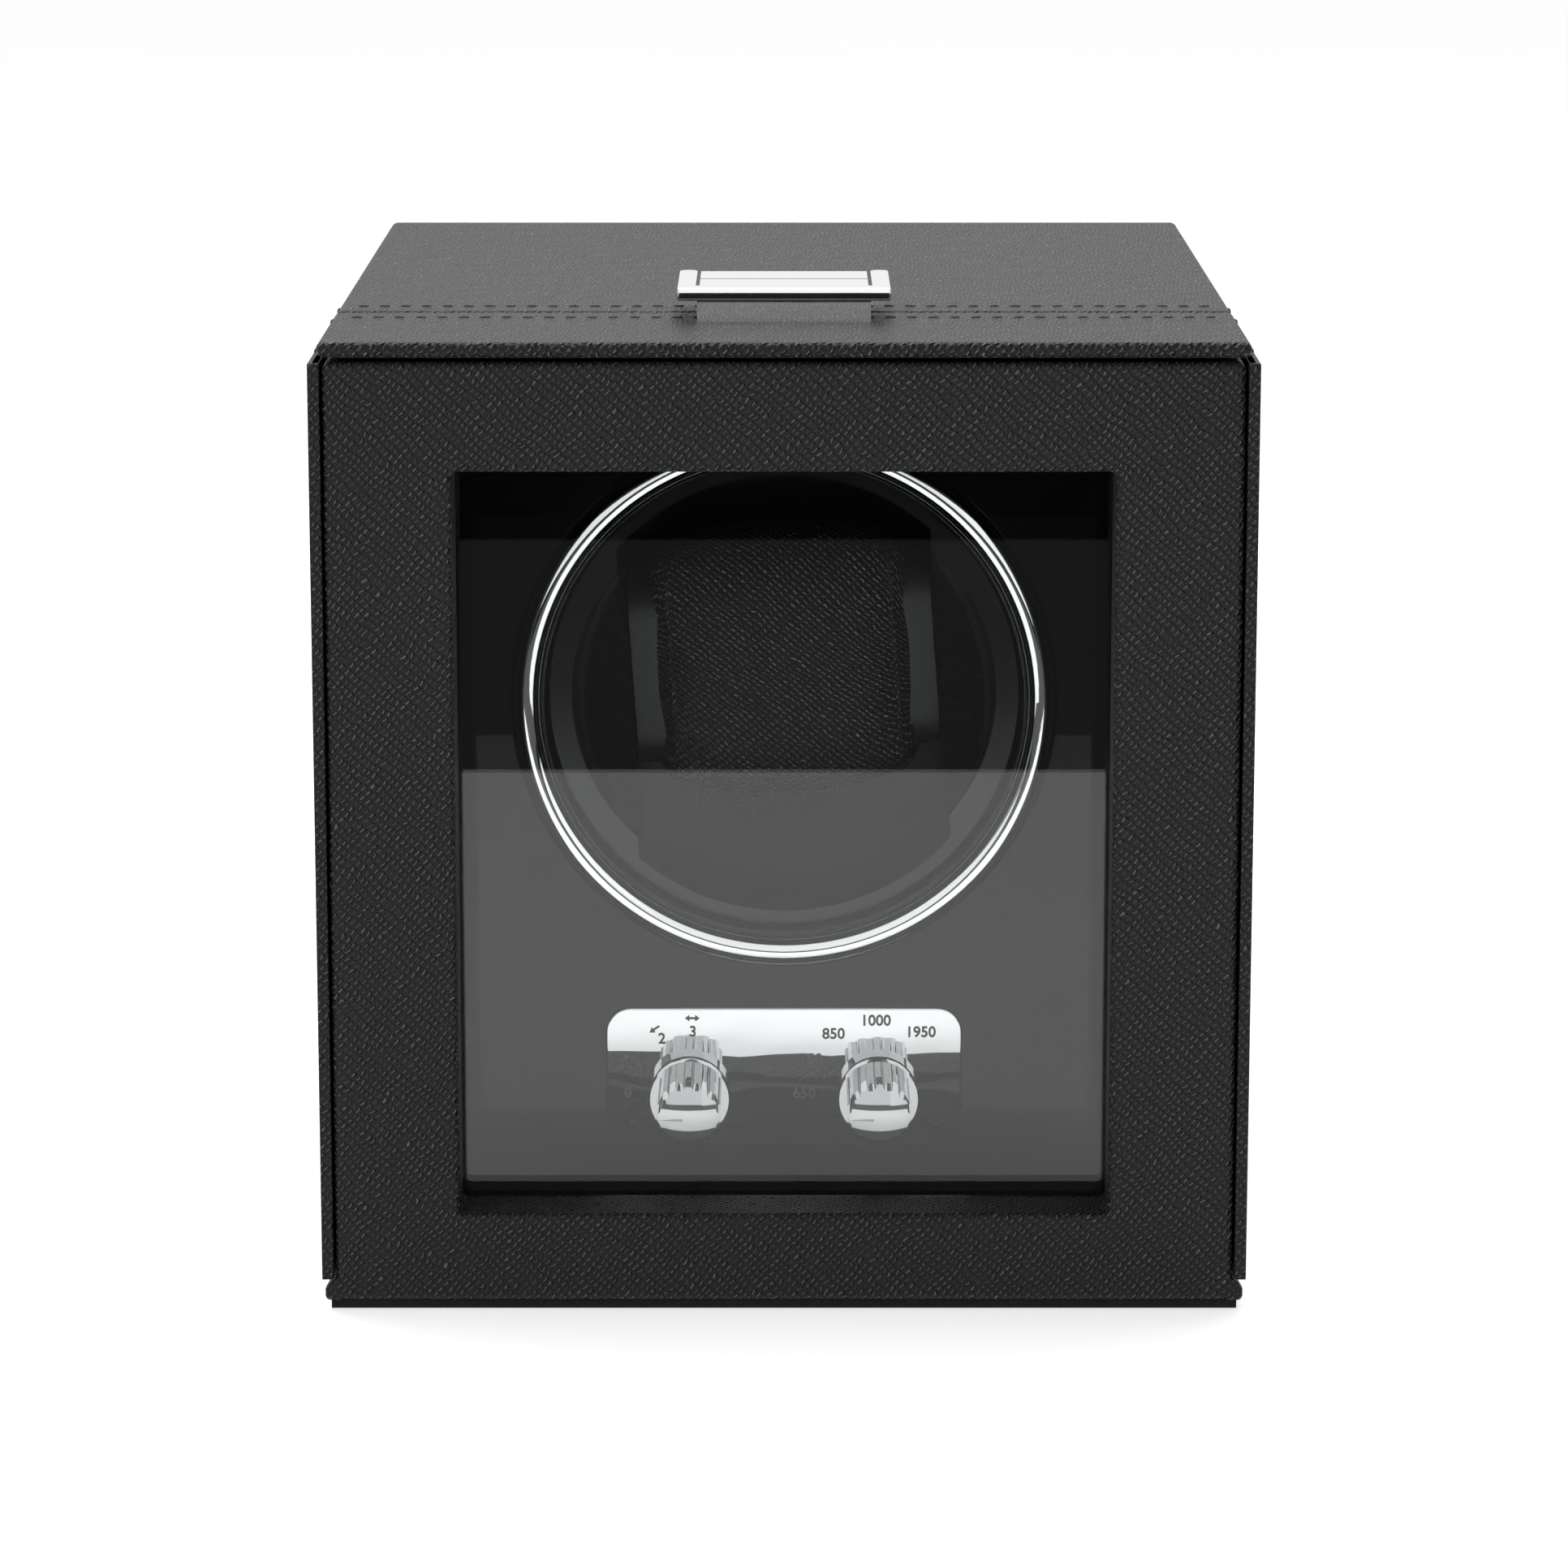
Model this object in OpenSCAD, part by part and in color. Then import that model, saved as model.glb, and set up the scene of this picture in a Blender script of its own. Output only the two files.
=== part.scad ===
// Watch winder box: a leather-wrapped cabinet with a glazed front that swings
// forward, and a belt-driven drum that turns one watch on its cushion.
// Millimetres. +Z is up, the door faces -Y, and the origin is on the ground
// under the middle of the box.

/* [Case] */
// Width over the side walls
case_w = 160; // [158:1:170]
// Depth from the door's face to the back
case_d = 192; // [190:1:206]
// Height to the top of the leather
case_h = 168.5; // [168:0.5:176]
// Thickness of a side wall and of the back, leather included
wall_t = 9; // [8:0.5:10]
// Thickness of the leather covering
leather_t = 0.8; // [0.6:0.1:1]
// Thickness of the base sheet that the box stands on
sheet_t = 1.5; // [1:0.5:2]
// Thickness of the base board
floor_t = 8; // [6:1:9]

/* [Door] */
// Thickness of the door, leather included
door_t = 15; // [14:0.5:16]
// Width of the window
window_w = 112; // [100:1:114]
// Height of the window's lower edge
window_low = 17.2; // [16:0.2:20]
// Height of the window's upper edge
window_high = 146.6; // [140:0.2:148]
// Depth of the glass behind the door's face
glass_set = 11; // [9:0.5:11]
// Thickness of the glass and of its retainer
glass_t = 2; // [1.5:0.5:2]
// Width of the lip of a side wall beside the door
lip_w = 2; // [1.8:0.1:2.4]
// Gap between the door and a lip
door_gap = 0.4; // [0.3:0.1:0.6]

/* [Top] */
// Depth of the front strip that swings with the door
strip_d = 43; // [41:1:45]
// Thickness of the top's visible edge
top_edge = 2.6; // [2.4:0.1:3.2]
// How far the top stops short of the side walls on each side
top_inset = 1.5; // [1:0.5:2]

/* [Latch] */
// Width of the latch frame
latch_w = 36.8; // [34:0.2:40]
// Length of the latch frame from front to back
latch_d = 28; // [26:1:30]
// Height of the latch above the leather
latch_h = 6; // [5.8:0.1:6.5]
// Width of the latch base under the frame
latch_base_w = 30; // [28:1:30]

/* [Fascia] */
// Depth of the inner fascia behind the door's face
fascia_set = 35; // [35:0.5:36]
// Thickness of the fascia
fascia_t = 3; // [2:0.5:3]
// Height of the drum's axis
axis_z = 101; // [98:0.5:103]
// Bore radius of the bezel ring
ring_r = 42.2; // [42:0.1:43]
// Section radius of the half-round bezel ring
ring_h = 3; // [2.5:0.1:3.5]

/* [Drum] */
// Outer radius of the drum
drum_r = 41.4; // [40:0.1:41.8]
// Wall thickness of the drum
drum_wall = 2.2; // [2:0.1:2.6]
// Length of the drum from its rim to its back face
drum_l = 66; // [64:1:66]
// Distance of each cheek's inner face from the axis
cheek_x = 27.7; // [27.5:0.1:28.5]
// Angle at which the drum rests, anticlockwise from the front
drum_turn = 4; // [0:1:20]

/* [Cushion] */
// Width of the cushion's cover
cushion_w = 50; // [46:1:50]
// Height of the cushion's cover
cushion_h = 54; // [50:1:56]
// Depth of the cushion from front to back
cushion_d = 40; // [38:1:42]

/* [Controls] */
// Width of the chrome control plate
plate_w = 63.4; // [60:0.2:66]
// Height of the control plate
plate_h = 25.4; // [24:0.2:27]
// Height of the control plate's lower edge
plate_low = 20.1; // [18:0.1:20.5]
// Distance of each knob from the middle
knob_x = 16.8; // [16:0.1:18]
// Height of the knobs' axes
knob_z = 29.4; // [29:0.1:31]
// Radius of a knob's grip
knob_r = 5.6; // [5:0.1:6]

/* [Drive] */
// Groove radius of the drum's pulley
drum_pulley_r = 24; // [20:1:24]
// Groove radius of the motor's pulley
motor_pulley_r = 8; // [7:0.5:9]
// Sideways place of the motor
motor_x = -36; // [-40:1:-34]
// Height of the motor's axis
motor_z = 44; // [42:1:46]

/* [Hidden] */
round_fn = 64;
eps = 0.01;

// Case planes
front_y = -case_d / 2;
back_y = case_d / 2;
side_x = case_w / 2;
inner_x = side_x - wall_t;
board_x = side_x - leather_t;
wall_top = case_h - top_edge - 0.5;
floor_z = sheet_t + floor_t;
back_in = back_y - wall_t;
sheet_inset = 1.2;

// Door planes
door_back = front_y + door_t;
rebate_y = door_back + door_gap;
lip_x = side_x - lip_w;
door_x = lip_x - door_gap;
door_low = sheet_t + 0.1;
door_high = case_h - top_edge - 0.7;
lip_low = 5.4;
foot_h = 3.2;
foot_d = 3;
foot_x = side_x - 0.5;
window_x = window_w / 2;
glass_y = front_y + glass_set;
glass_rim = 3;
glass_x = window_x + glass_rim;
retainer_rim = 7;
retainer_x = window_x + retainer_rim;
retainer_lap = 0.8;
pocket_gap = 0.2;
pane_screw_r = 0.9;
pane_head_r = 1.8;
pane_screw_set = 5.2;
door_screw_r = 1.25;
door_head_r = 2.3;
door_head_l = 2;

// Top planes
top_x = side_x - top_inset;
strip_y = front_y + strip_d - 0.2;
rear_top_y = front_y + strip_d + 0.2;
top_board_z = case_h - leather_t;
core_low = case_h - 10;
core_gap = 0.6;
core_front = door_back;

// Latch planes
latch_y = front_y + 27;
latch_base_y = front_y + 29;
latch_base_back = front_y + 42.4;
latch_top = case_h + latch_h;
latch_plate = 2.2;
arm_w = 3.2;
bar_d = 4.5;
slot = 0.6;
tongue_z = latch_top - latch_plate + 0.3;
tongue_top = latch_top - 0.2;
base_floor = 0.9;
cheek_top = case_h + 3.1;
screw_y = front_y + 34;
strike_y = front_y + 51.5;
latch_screw_x = 8;
latch_screw_r = 1.25;
strike_screw_r = 1.1;
latch_head_r = 2;
latch_head_l = 0.7;
screw_low = core_low + 3;
strike_front = front_y + 46;
strike_back = front_y + 54.5;
strike_x = 12;
strike_t = 0.8;
hook_y = front_y + 47.4;
hook_t = 1.2;
hook_x = 8;
ear_w = 2.2;
pivot_y = front_y + 40;
pivot_z = case_h + 2.3;
pivot_r = 0.6;

// Fascia and drum planes
fascia_y = front_y + fascia_set;
fascia_back = fascia_y + fascia_t;
fascia_high = core_low - 0.2;
ring_mid = ring_r + ring_h;
spigot_r = ring_r + 1;
spigot_l = 5;
drum_y = fascia_back + 2;
drum_back = drum_y + drum_l;
drum_in = drum_r - drum_wall;
drum_floor = 3;

// Cushion planes
cushion_y = front_y + 58;
core_x = cheek_x - 0.3;
cap_t = 2;
shell_t = 2;

// Controls
plate_t = 1.2;
plate_r = 4.5;
plate_front = fascia_y - plate_t;
knob_back = plate_front - 0.3;
knob_l = 16;
skirt_h = 2.5;
shaft_r = 3;
switch_side = 14;
switch_d = 7;
circuit_y = fascia_back + 8;
circuit_t = 1.6;
circuit_x = 40;
circuit_low = 13;
circuit_high = 46;
standoff_x = 36;
standoff_z = [17, 42];
standoff_screw_r = 1.3;
fascia_screw_r = 1.2;
fascia_head_r = 2.4;
fascia_head_l = 1.2;
batten_w = 8;
batten_d = 10;

// Drive planes
carrier_y = 34;
carrier_t = 8;
carrier_back = carrier_y + carrier_t;
axle_r = 3;
bush_r = 5;
run_gap = 0.05;
pulley_d = 7;
belt_w = 3;
belt_t = 1.5;
belt_gap = 0.3;
motor_shaft_r = 2;
motor_screw_x = 8.5;
motor_screw_r = 1.25;
bearing_screw_r = 1.5;
bearing_screw_x = 13;
pulley_screw_r = 1.25;
pulley_screw_ring = 15;
flange_t = 1.4;
flange_h = 2.6;
gearbox_r = 12.5;
gearbox_l = 16;
can_r = 12;
can_l = 18;
inlet_x = 45;
inlet_z = 22;
inlet_r = 5.5;
inlet_rim_r = 7;
inlet_rim_t = 1.5;
inlet_nut_r = 8;
lead_r = 1.1;

// ---- shared shapes ----

// A block between two values on each axis
module block(x, y, z) {
    translate([x[0], y[0], z[0]]) cube([x[1] - x[0], y[1] - y[0], z[1] - z[0]]);
}

// A block that is centred left to right
module middle_block(half_x, y, z) {
    block([-half_x, half_x], y, z);
}

// A round bar along Y, from one value of y to another
module bar_y(r, y, x = 0, z = 0, sides = round_fn) {
    translate([x, y[0], z]) rotate([-90, 0, 0]) cylinder(r = r, h = y[1] - y[0], $fn = sides);
}

// A round bar along Z
module bar_z(r, x, y, z) {
    translate([x, y, z[0]]) cylinder(r = r, h = z[1] - z[0], $fn = round_fn);
}

// An outline drawn in x and z, extruded between two values of y
module slab_y(y) {
    translate([0, y[1], 0]) rotate([90, 0, 0]) linear_extrude(y[1] - y[0]) children();
}

// A rectangle with round corners, from one x to another and one z to another
module rounded(x, z, r) {
    translate([x[0] + r, z[0]]) square([x[1] - x[0] - 2 * r, z[1] - z[0]]);
    translate([x[0], z[0] + r]) square([x[1] - x[0], z[1] - z[0] - 2 * r]);
    for (cx = [x[0] + r, x[1] - r], cz = [z[0] + r, z[1] - r])
        translate([cx, cz]) circle(r = r, $fn = round_fn);
}

// Puts the drum's parts on the axis, turned to where they rest
module on_axis() {
    translate([0, 0, axis_z]) rotate([0, -drum_turn, 0]) children();
}

// A smooth curve through a list of points, with a few steps between each pair
function route_point(p, i, t) =
    let (n = len(p) - 1,
         a = p[max(i - 1, 0)],
         b = p[i],
         c = p[min(i + 1, n)],
         d = p[min(i + 2, n)])
    0.5 * (2 * b + (c - a) * t + (2 * a - 5 * b + 4 * c - d) * t * t
           + (3 * b - a - 3 * c + d) * t * t * t);

function smooth_route(p, steps) = concat(
    [for (i = [0 : len(p) - 2], s = [0 : steps - 1]) route_point(p, i, s / steps)],
    [p[len(p) - 1]]);

function unit(v) = v / norm(v);

// A round lead swept along a route
module swept_lead(path, r, sides = 8) {
    last = len(path) - 1;
    rings = [for (i = [0 : last])
        let (dir = unit(path[min(i + 1, last)] - path[max(i - 1, 0)]),
             ref = abs(dir[2]) > 0.9 ? [1, 0, 0] : [0, 0, 1],
             side = unit(cross(dir, ref)),
             up = cross(side, dir))
        for (k = [0 : sides - 1])
            path[i] + r * (cos(360 * k / sides) * side + sin(360 * k / sides) * up)];
    walls = [for (i = [0 : last - 1], k = [0 : sides - 1])
        let (a = i * sides + k,
             b = i * sides + (k + 1) % sides)
        [a, a + sides, b + sides, b]];
    start_cap = [[for (k = [0 : sides - 1]) k]];
    end_cap = [[for (k = [sides - 1 : -1 : 0]) last * sides + k]];
    polyhedron(points = rings, faces = concat(walls, start_cap, end_cap));
}

// ---- case: boards and leather ----

module base_sheet() {
    color("#1b1b1c")
        block([-top_x, top_x], [front_y + sheet_inset, back_y - 1], [0, sheet_t]);
}

module base_board() {
    color("#2a2826")
        middle_block(inner_x, [rebate_y, back_in], [sheet_t, floor_z]);
}

// The right wall: a board with a thin lip along its front edge
module wall_board() {
    block([inner_x, board_x], [rebate_y, back_y - leather_t], [sheet_t, wall_top]);
    block([lip_x, board_x], [front_y + leather_t, rebate_y], [lip_low, wall_top - 0.4]);
}

module right_wall() {
    color("#2a2826") wall_board();
}

module left_wall() {
    color("#2a2826") mirror([1, 0, 0]) wall_board();
}

module inlet_hole() {
    bar_y(inlet_r, [back_in - 1, back_y + 1], inlet_x, inlet_z);
    bar_y(inlet_rim_r + 1, [back_y - inlet_rim_t, back_y + 1], inlet_x, inlet_z);
}

module back_wall() {
    color("#2a2826") difference() {
        middle_block(inner_x, [back_in, back_y - leather_t], [sheet_t, wall_top]);
        inlet_hole();
    }
}

// One skin round both side walls and the back, turned in over the lips' front edges
module case_leather() {
    color("#232324") difference() {
        middle_block(side_x, [front_y, back_y], [sheet_t, wall_top]);
        middle_block(board_x, [front_y + leather_t, back_y - leather_t], [0, case_h]);
        middle_block(lip_x, [front_y - 1, front_y + 1], [0, case_h]);
        middle_block(side_x + 1, [front_y - 1, rebate_y], [0, lip_low]);
        middle_block(side_x + 1, [front_y - 1, rebate_y], [wall_top - 0.4, case_h]);
        inlet_hole();
    }
}

// ---- top ----

module rear_top_board() {
    color("#2a2826") difference() {
        union() {
            middle_block(top_x - leather_t, [rear_top_y + leather_t, back_y - 1 - leather_t],
                         [wall_top, top_board_z]);
            middle_block(inner_x, [rear_top_y + leather_t, back_in], [core_low, wall_top + eps]);
        }
        top_holes(strike_y, strike_screw_r, screw_low);
    }
}

module rear_top_leather() {
    color("#2a2a2b") difference() {
        middle_block(top_x, [rear_top_y, back_y - 1], [wall_top, case_h]);
        middle_block(top_x - leather_t, [rear_top_y + leather_t, back_y - 1 - leather_t],
                     [0, top_board_z]);
        top_holes(strike_y, strike_screw_r, case_h - 2);
    }
}

module strip_board() {
    color("#2a2826") difference() {
        union() {
            middle_block(top_x - leather_t, [front_y + leather_t, strip_y - leather_t],
                         [wall_top + 0.5, top_board_z]);
            middle_block(inner_x - core_gap, [core_front, strip_y - leather_t],
                         [core_low, wall_top + 0.5 + eps]);
        }
        cover_screw_places() bar_y(door_screw_r, [front_y, core_front + 16]);
        top_holes(screw_y, latch_screw_r, screw_low);
    }
}

module strip_leather() {
    color("#2a2a2b") difference() {
        middle_block(top_x, [front_y, strip_y], [wall_top + 0.5, case_h]);
        middle_block(top_x - leather_t, [front_y + leather_t, strip_y - leather_t],
                     [0, top_board_z]);
        top_holes(screw_y, latch_screw_r, screw_low);
    }
}

// ---- door ----

// The leather folds out at the door's foot, under the ends of the lips
module door_board() {
    color("#2a2826") difference() {
        middle_block(door_x - leather_t, [front_y + leather_t, door_back],
                     [door_low + leather_t, door_high - leather_t]);
        slab_y([front_y, door_back + 1])
            rounded([-window_x - leather_t, window_x + leather_t],
                    [window_low - leather_t, window_high + leather_t], 1.6);
        middle_block(glass_x + pocket_gap, [glass_y, door_back + 1],
                     [window_low - glass_rim - pocket_gap, window_high + glass_rim + pocket_gap]);
        middle_block(retainer_x + pocket_gap, [door_back - glass_t, door_back + 1],
                     [window_low - retainer_rim - pocket_gap,
                      window_high + retainer_rim + pocket_gap]);
        retainer_screw_places() bar_y(pane_screw_r, [-7, 1]);
        cover_screw_places() {
            bar_y(door_screw_r + 0.35, [front_y - 1, door_back + 1]);
            bar_y(door_head_r + 0.05, [front_y - 1, front_y + leather_t + door_head_l]);
        }
    }
}

module door_leather() {
    color("#232324") difference() {
        union() {
            middle_block(door_x, [front_y, door_back], [door_low, door_high]);
            middle_block(foot_x, [front_y, front_y + foot_d], [door_low, door_low + foot_h]);
        }
        middle_block(door_x - leather_t, [front_y + leather_t, door_back + 1],
                     [door_low + leather_t, door_high - leather_t]);
        slab_y([front_y - 1, door_back]) rounded([-window_x, window_x], [window_low, window_high], 0.8);
    }
    color("#232324") slab_y([front_y + leather_t - eps, glass_y]) difference() {
        rounded([-window_x - leather_t, window_x + leather_t],
                [window_low - leather_t, window_high + leather_t], 1.6);
        rounded([-window_x, window_x], [window_low, window_high], 0.8);
    }
}

module window_glass() {
    color("#8a9499") slab_y([glass_y, glass_y + glass_t])
        rounded([-glass_x, glass_x], [window_low - glass_rim, window_high + glass_rim], 1);
}

// Screws round the glass retainer, with their heads level with the door's back
module retainer_screw_places() {
    mid_z = (window_low + window_high) / 2;
    for (x = [-1, 1], z = [window_low + 8, mid_z, window_high - 8])
        translate([x * (window_x + pane_screw_set), door_back, z]) children();
    for (x = [-1, 1], z = [window_low - pane_screw_set, window_high + pane_screw_set])
        translate([x * window_x / 2, door_back, z]) children();
}

module glass_retainer() {
    color("#202022") difference() {
        slab_y([door_back - glass_t, door_back]) difference() {
            rounded([-retainer_x, retainer_x],
                    [window_low - retainer_rim, window_high + retainer_rim], 2);
            rounded([-window_x - retainer_lap, window_x + retainer_lap],
                    [window_low - retainer_lap, window_high + retainer_lap], 1.6);
        }
        retainer_screw_places() {
            bar_y(pane_screw_r + 0.2, [-3, 1]);
            bar_y(pane_head_r, [-0.8, 1]);
        }
    }
}

module retainer_screws() {
    color("#3a3a3c") retainer_screw_places() {
        bar_y(pane_screw_r, [-7, -0.7]);
        bar_y(pane_head_r, [-0.8, 0]);
    }
}

// Long screws under the leather hold the strip's core to the door
module cover_screw_places() {
    for (x = [-60, -20, 20, 60]) translate([x, 0, (core_low + door_high) / 2]) children();
}

module cover_screws() {
    color("#8d8f92") cover_screw_places() {
        bar_y(door_screw_r, [front_y + leather_t + door_head_l - eps, core_front + 16]);
        bar_y(door_head_r, [front_y + leather_t, front_y + leather_t + door_head_l]);
    }
}

// ---- latch ----

// Screw holes at a distance behind the front, from a depth up through the leather
module top_holes(y, r, low) {
    for (x = [-latch_screw_x, latch_screw_x]) bar_z(r, x, y, [low, case_h + 2]);
}

module top_screws(y, r, low, head_z) {
    for (x = [-latch_screw_x, latch_screw_x]) {
        bar_z(r, x, y, [low, head_z + eps]);
        bar_z(latch_head_r, x, y, [head_z, head_z + latch_head_l]);
    }
}

module latch_screws() {
    color("#9a9c9f") top_screws(screw_y, latch_screw_r, screw_low, case_h + base_floor);
}

// A front wall carries the frame, and two cheeks behind it carry the tongue's pin
module latch_base() {
    half = latch_base_w / 2;
    cheek_t = 1.4;
    front_t = 2.4;
    color("#d8dadd") difference() {
        middle_block(half, [latch_base_y, latch_base_back], [case_h, latch_top - latch_plate]);
        middle_block(half - cheek_t, [latch_base_y + front_t, back_y],
                     [case_h + base_floor, latch_top + 1]);
        middle_block(half + 1, [latch_base_y + front_t, back_y], [cheek_top, latch_top + 1]);
        translate([-half - 1, pivot_y, pivot_z]) rotate([0, 90, 0])
            cylinder(r = pivot_r, h = 2 * half + 2, $fn = round_fn);
        top_holes(screw_y, latch_screw_r + run_gap, case_h - 1);
    }
}

// The frame is closed at the front, and its arms run back on both sides of the tongue
module latch_frame() {
    half = latch_w / 2;
    color("#e2e4e6") difference() {
        middle_block(half, [latch_y, latch_y + latch_d], [latch_top - latch_plate, latch_top]);
        middle_block(half - arm_w, [latch_y + bar_d, back_y], [case_h, latch_top + 1]);
    }
}

module latch_pin() {
    half = latch_base_w / 2;
    color("#b8babd") translate([-half, pivot_y, pivot_z]) rotate([0, 90, 0])
        cylinder(r = pivot_r, h = 2 * half, $fn = round_fn);
}

// A pressed plate with a groove across it, an ear on the pin and a hook behind the strike
module latch_tongue() {
    half = latch_w / 2 - arm_w - slot;
    y0 = latch_y + bar_d + 0.5;
    y1 = latch_y + latch_d - 0.6;
    ear_x = latch_base_w / 2 - 1.8;
    groove_y = front_y + 42.6;
    color("#e2e4e6") difference() {
        union() {
            middle_block(half, [y0, y1], [tongue_z, tongue_top]);
            for (x = [-ear_x, ear_x - ear_w])
                block([x, x + ear_w], [pivot_y - 1.3, pivot_y + 1.3],
                      [pivot_z - 1.2, tongue_z + eps]);
            middle_block(hook_x, [hook_y, hook_y + hook_t], [case_h + 3.4, tongue_z + eps]);
        }
        middle_block(half + 1, [groove_y, groove_y + slot], [tongue_top - 0.4, tongue_top + 1]);
        translate([-half, pivot_y, pivot_z]) rotate([0, 90, 0])
            cylinder(r = pivot_r + run_gap, h = 2 * half, $fn = round_fn);
    }
}

// A short coil under the tongue's front half
module latch_spring() {
    turns = 3;
    steps = 14;
    wire_r = 0.3;
    coil_r = 1.7;
    low = case_h + base_floor + wire_r;
    high = tongue_z - wire_r;
    coil = [for (i = [0 : turns * steps])
        [coil_r * cos(360 * i / steps), screw_y + coil_r * sin(360 * i / steps),
         low + (high - low) * i / (turns * steps)]];
    color("#9a9c9f") swept_lead(coil, wire_r, 6);
}

module latch_strike() {
    color("#d8dadd") difference() {
        union() {
            middle_block(strike_x, [strike_front, strike_back], [case_h, case_h + 1]);
            middle_block(strike_x, [strike_front, strike_front + strike_t], [case_h, cheek_top]);
        }
        top_holes(strike_y, strike_screw_r, case_h - 1);
    }
}

module strike_screws() {
    color("#9a9c9f") top_screws(strike_y, strike_screw_r, screw_low, case_h + 1);
}

// ---- fascia and controls ----

module fascia_battens() {
    color("#2a2826") for (s = [-1, 1]) {
        near = s * (inner_x - batten_w);
        far = s * inner_x;
        difference() {
            block([min(near, far), max(near, far)], [fascia_back, fascia_back + batten_d],
                  [floor_z, fascia_high]);
            fascia_screw_places() bar_y(fascia_screw_r, [-1, 12]);
        }
    }
}

module fascia_screw_places() {
    for (x = [-1, 1], z = [16, 150]) translate([x * (inner_x - 4.5), fascia_y, z]) children();
}

module knob_places() {
    for (x = [-knob_x, knob_x]) translate([x, 0, knob_z]) children();
}

module fascia_panel() {
    color("#0c0c0d") difference() {
        middle_block(inner_x - 0.2, [fascia_y, fascia_back], [floor_z, fascia_high]);
        bar_y(spigot_r, [fascia_y - 1, fascia_back + 1], 0, axis_z, 96);
        knob_places() bar_y(shaft_r + 0.5, [fascia_y - 1, fascia_back + 1]);
        fascia_screw_places() {
            bar_y(fascia_screw_r + 0.1, [-1, 9]);
            bar_y(fascia_head_r, [-1, fascia_head_l]);
        }
    }
}

module fascia_screws() {
    color("#3a3a3c") fascia_screw_places() {
        bar_y(fascia_screw_r, [fascia_head_l - 0.2, 12]);
        bar_y(fascia_head_r, [0, fascia_head_l]);
    }
}

// A half-round bead on the fascia, with a spigot through it
module bezel_ring() {
    color("#e8eaec") translate([0, fascia_y, axis_z]) rotate([90, 0, 0])
        rotate_extrude($fn = 96) {
            translate([ring_r, -spigot_l]) square([spigot_r - ring_r, spigot_l + eps]);
            intersection() {
                translate([ring_mid, 0]) circle(r = ring_h, $fn = round_fn);
                translate([ring_r - 1, 0]) square([2 * ring_h + 2, ring_h + 1]);
            }
        }
}

module control_plate() {
    color("#dfe1e3") difference() {
        slab_y([plate_front, fascia_y])
            rounded([-plate_w / 2, plate_w / 2], [plate_low, plate_low + plate_h], plate_r);
        knob_places() bar_y(shaft_r + 0.5, [plate_front - 1, fascia_y + 1]);
    }
}

// A rotary switch body with its shaft hole
module rotary_switch() {
    half = switch_side / 2;
    color("#4b4d50") difference() {
        union() {
            block([-half, half], [fascia_back, fascia_back + switch_d], [-half, half]);
            bar_y(5, [fascia_back + switch_d - eps, circuit_y]);
        }
        bar_y(shaft_r + run_gap, [fascia_back - 1, circuit_y - 0.6]);
    }
}

module direction_switch() {
    translate([-knob_x, 0, knob_z]) rotary_switch();
}

module turns_switch() {
    translate([knob_x, 0, knob_z]) rotary_switch();
}

module rotary_shaft() {
    color("#b4b6b9") bar_y(shaft_r, [knob_back - knob_l + 4, circuit_y - 1]);
}

module direction_shaft() {
    translate([-knob_x, 0, knob_z]) rotary_shaft();
}

module turns_shaft() {
    translate([knob_x, 0, knob_z]) rotary_shaft();
}

// A fluted grip with a slightly domed end over a round skirt, and a pointer groove at the left
module rotary_knob() {
    flutes = 12;
    tip = knob_back - knob_l;
    dome_r = 16;
    color("#d6d8db") difference() {
        union() {
            bar_y(knob_r + 1.4, [knob_back - skirt_h, knob_back]);
            intersection() {
                bar_y(knob_r, [tip, knob_back - skirt_h + eps]);
                translate([0, tip + dome_r, 0]) sphere(r = dome_r, $fn = 96);
            }
        }
        for (i = [0 : flutes - 1]) rotate([0, 360 * (i + 0.5) / flutes, 0])
            bar_y(1.1, [tip - 1, knob_back - skirt_h], knob_r + 0.6, 0, 32);
        bar_y(shaft_r, [tip + 4, knob_back + 1]);
        block([-knob_r - 1, -1], [tip - 1, tip + 0.9], [-0.4, 0.4]);
    }
}

module direction_knob() {
    translate([-knob_x, 0, knob_z]) rotary_knob();
}

module turns_knob() {
    translate([knob_x, 0, knob_z]) rotary_knob();
}

module standoff_places() {
    for (x = [-standoff_x, standoff_x], z = standoff_z) translate([x, 0, z]) children();
}

module board_standoffs() {
    color("#c9b27a") standoff_places() {
        bar_y(2.5, [fascia_back, circuit_y]);
        bar_y(standoff_screw_r, [circuit_y - eps, circuit_y + circuit_t]);
        bar_y(2, [circuit_y + circuit_t - eps, circuit_y + circuit_t + 1.2]);
    }
}

// The board with the parts soldered to its back
module circuit_board() {
    back = circuit_y + circuit_t;
    color("#1d5a34") difference() {
        middle_block(circuit_x, [circuit_y, back], [circuit_low, circuit_high]);
        standoff_places() bar_y(standoff_screw_r, [circuit_y - 1, back + 1]);
    }
    color("#1d5a34") {
        block([16, 32], [back, back + 5], [18, 26]);
        block([-14, -2], [back, back + 2], [26, 38]);
        block([4, 12], [back, back + 1.6], [28, 34]);
        bar_y(4, [back, back + 10], -26, 24);
        bar_y(3, [back, back + 8], 27, 36);
        for (x = [-30, -26, -22, 14]) block([x, x + 2], [back, back + 1.2], [36, 41]);
    }
}

// ---- drum ----

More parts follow.
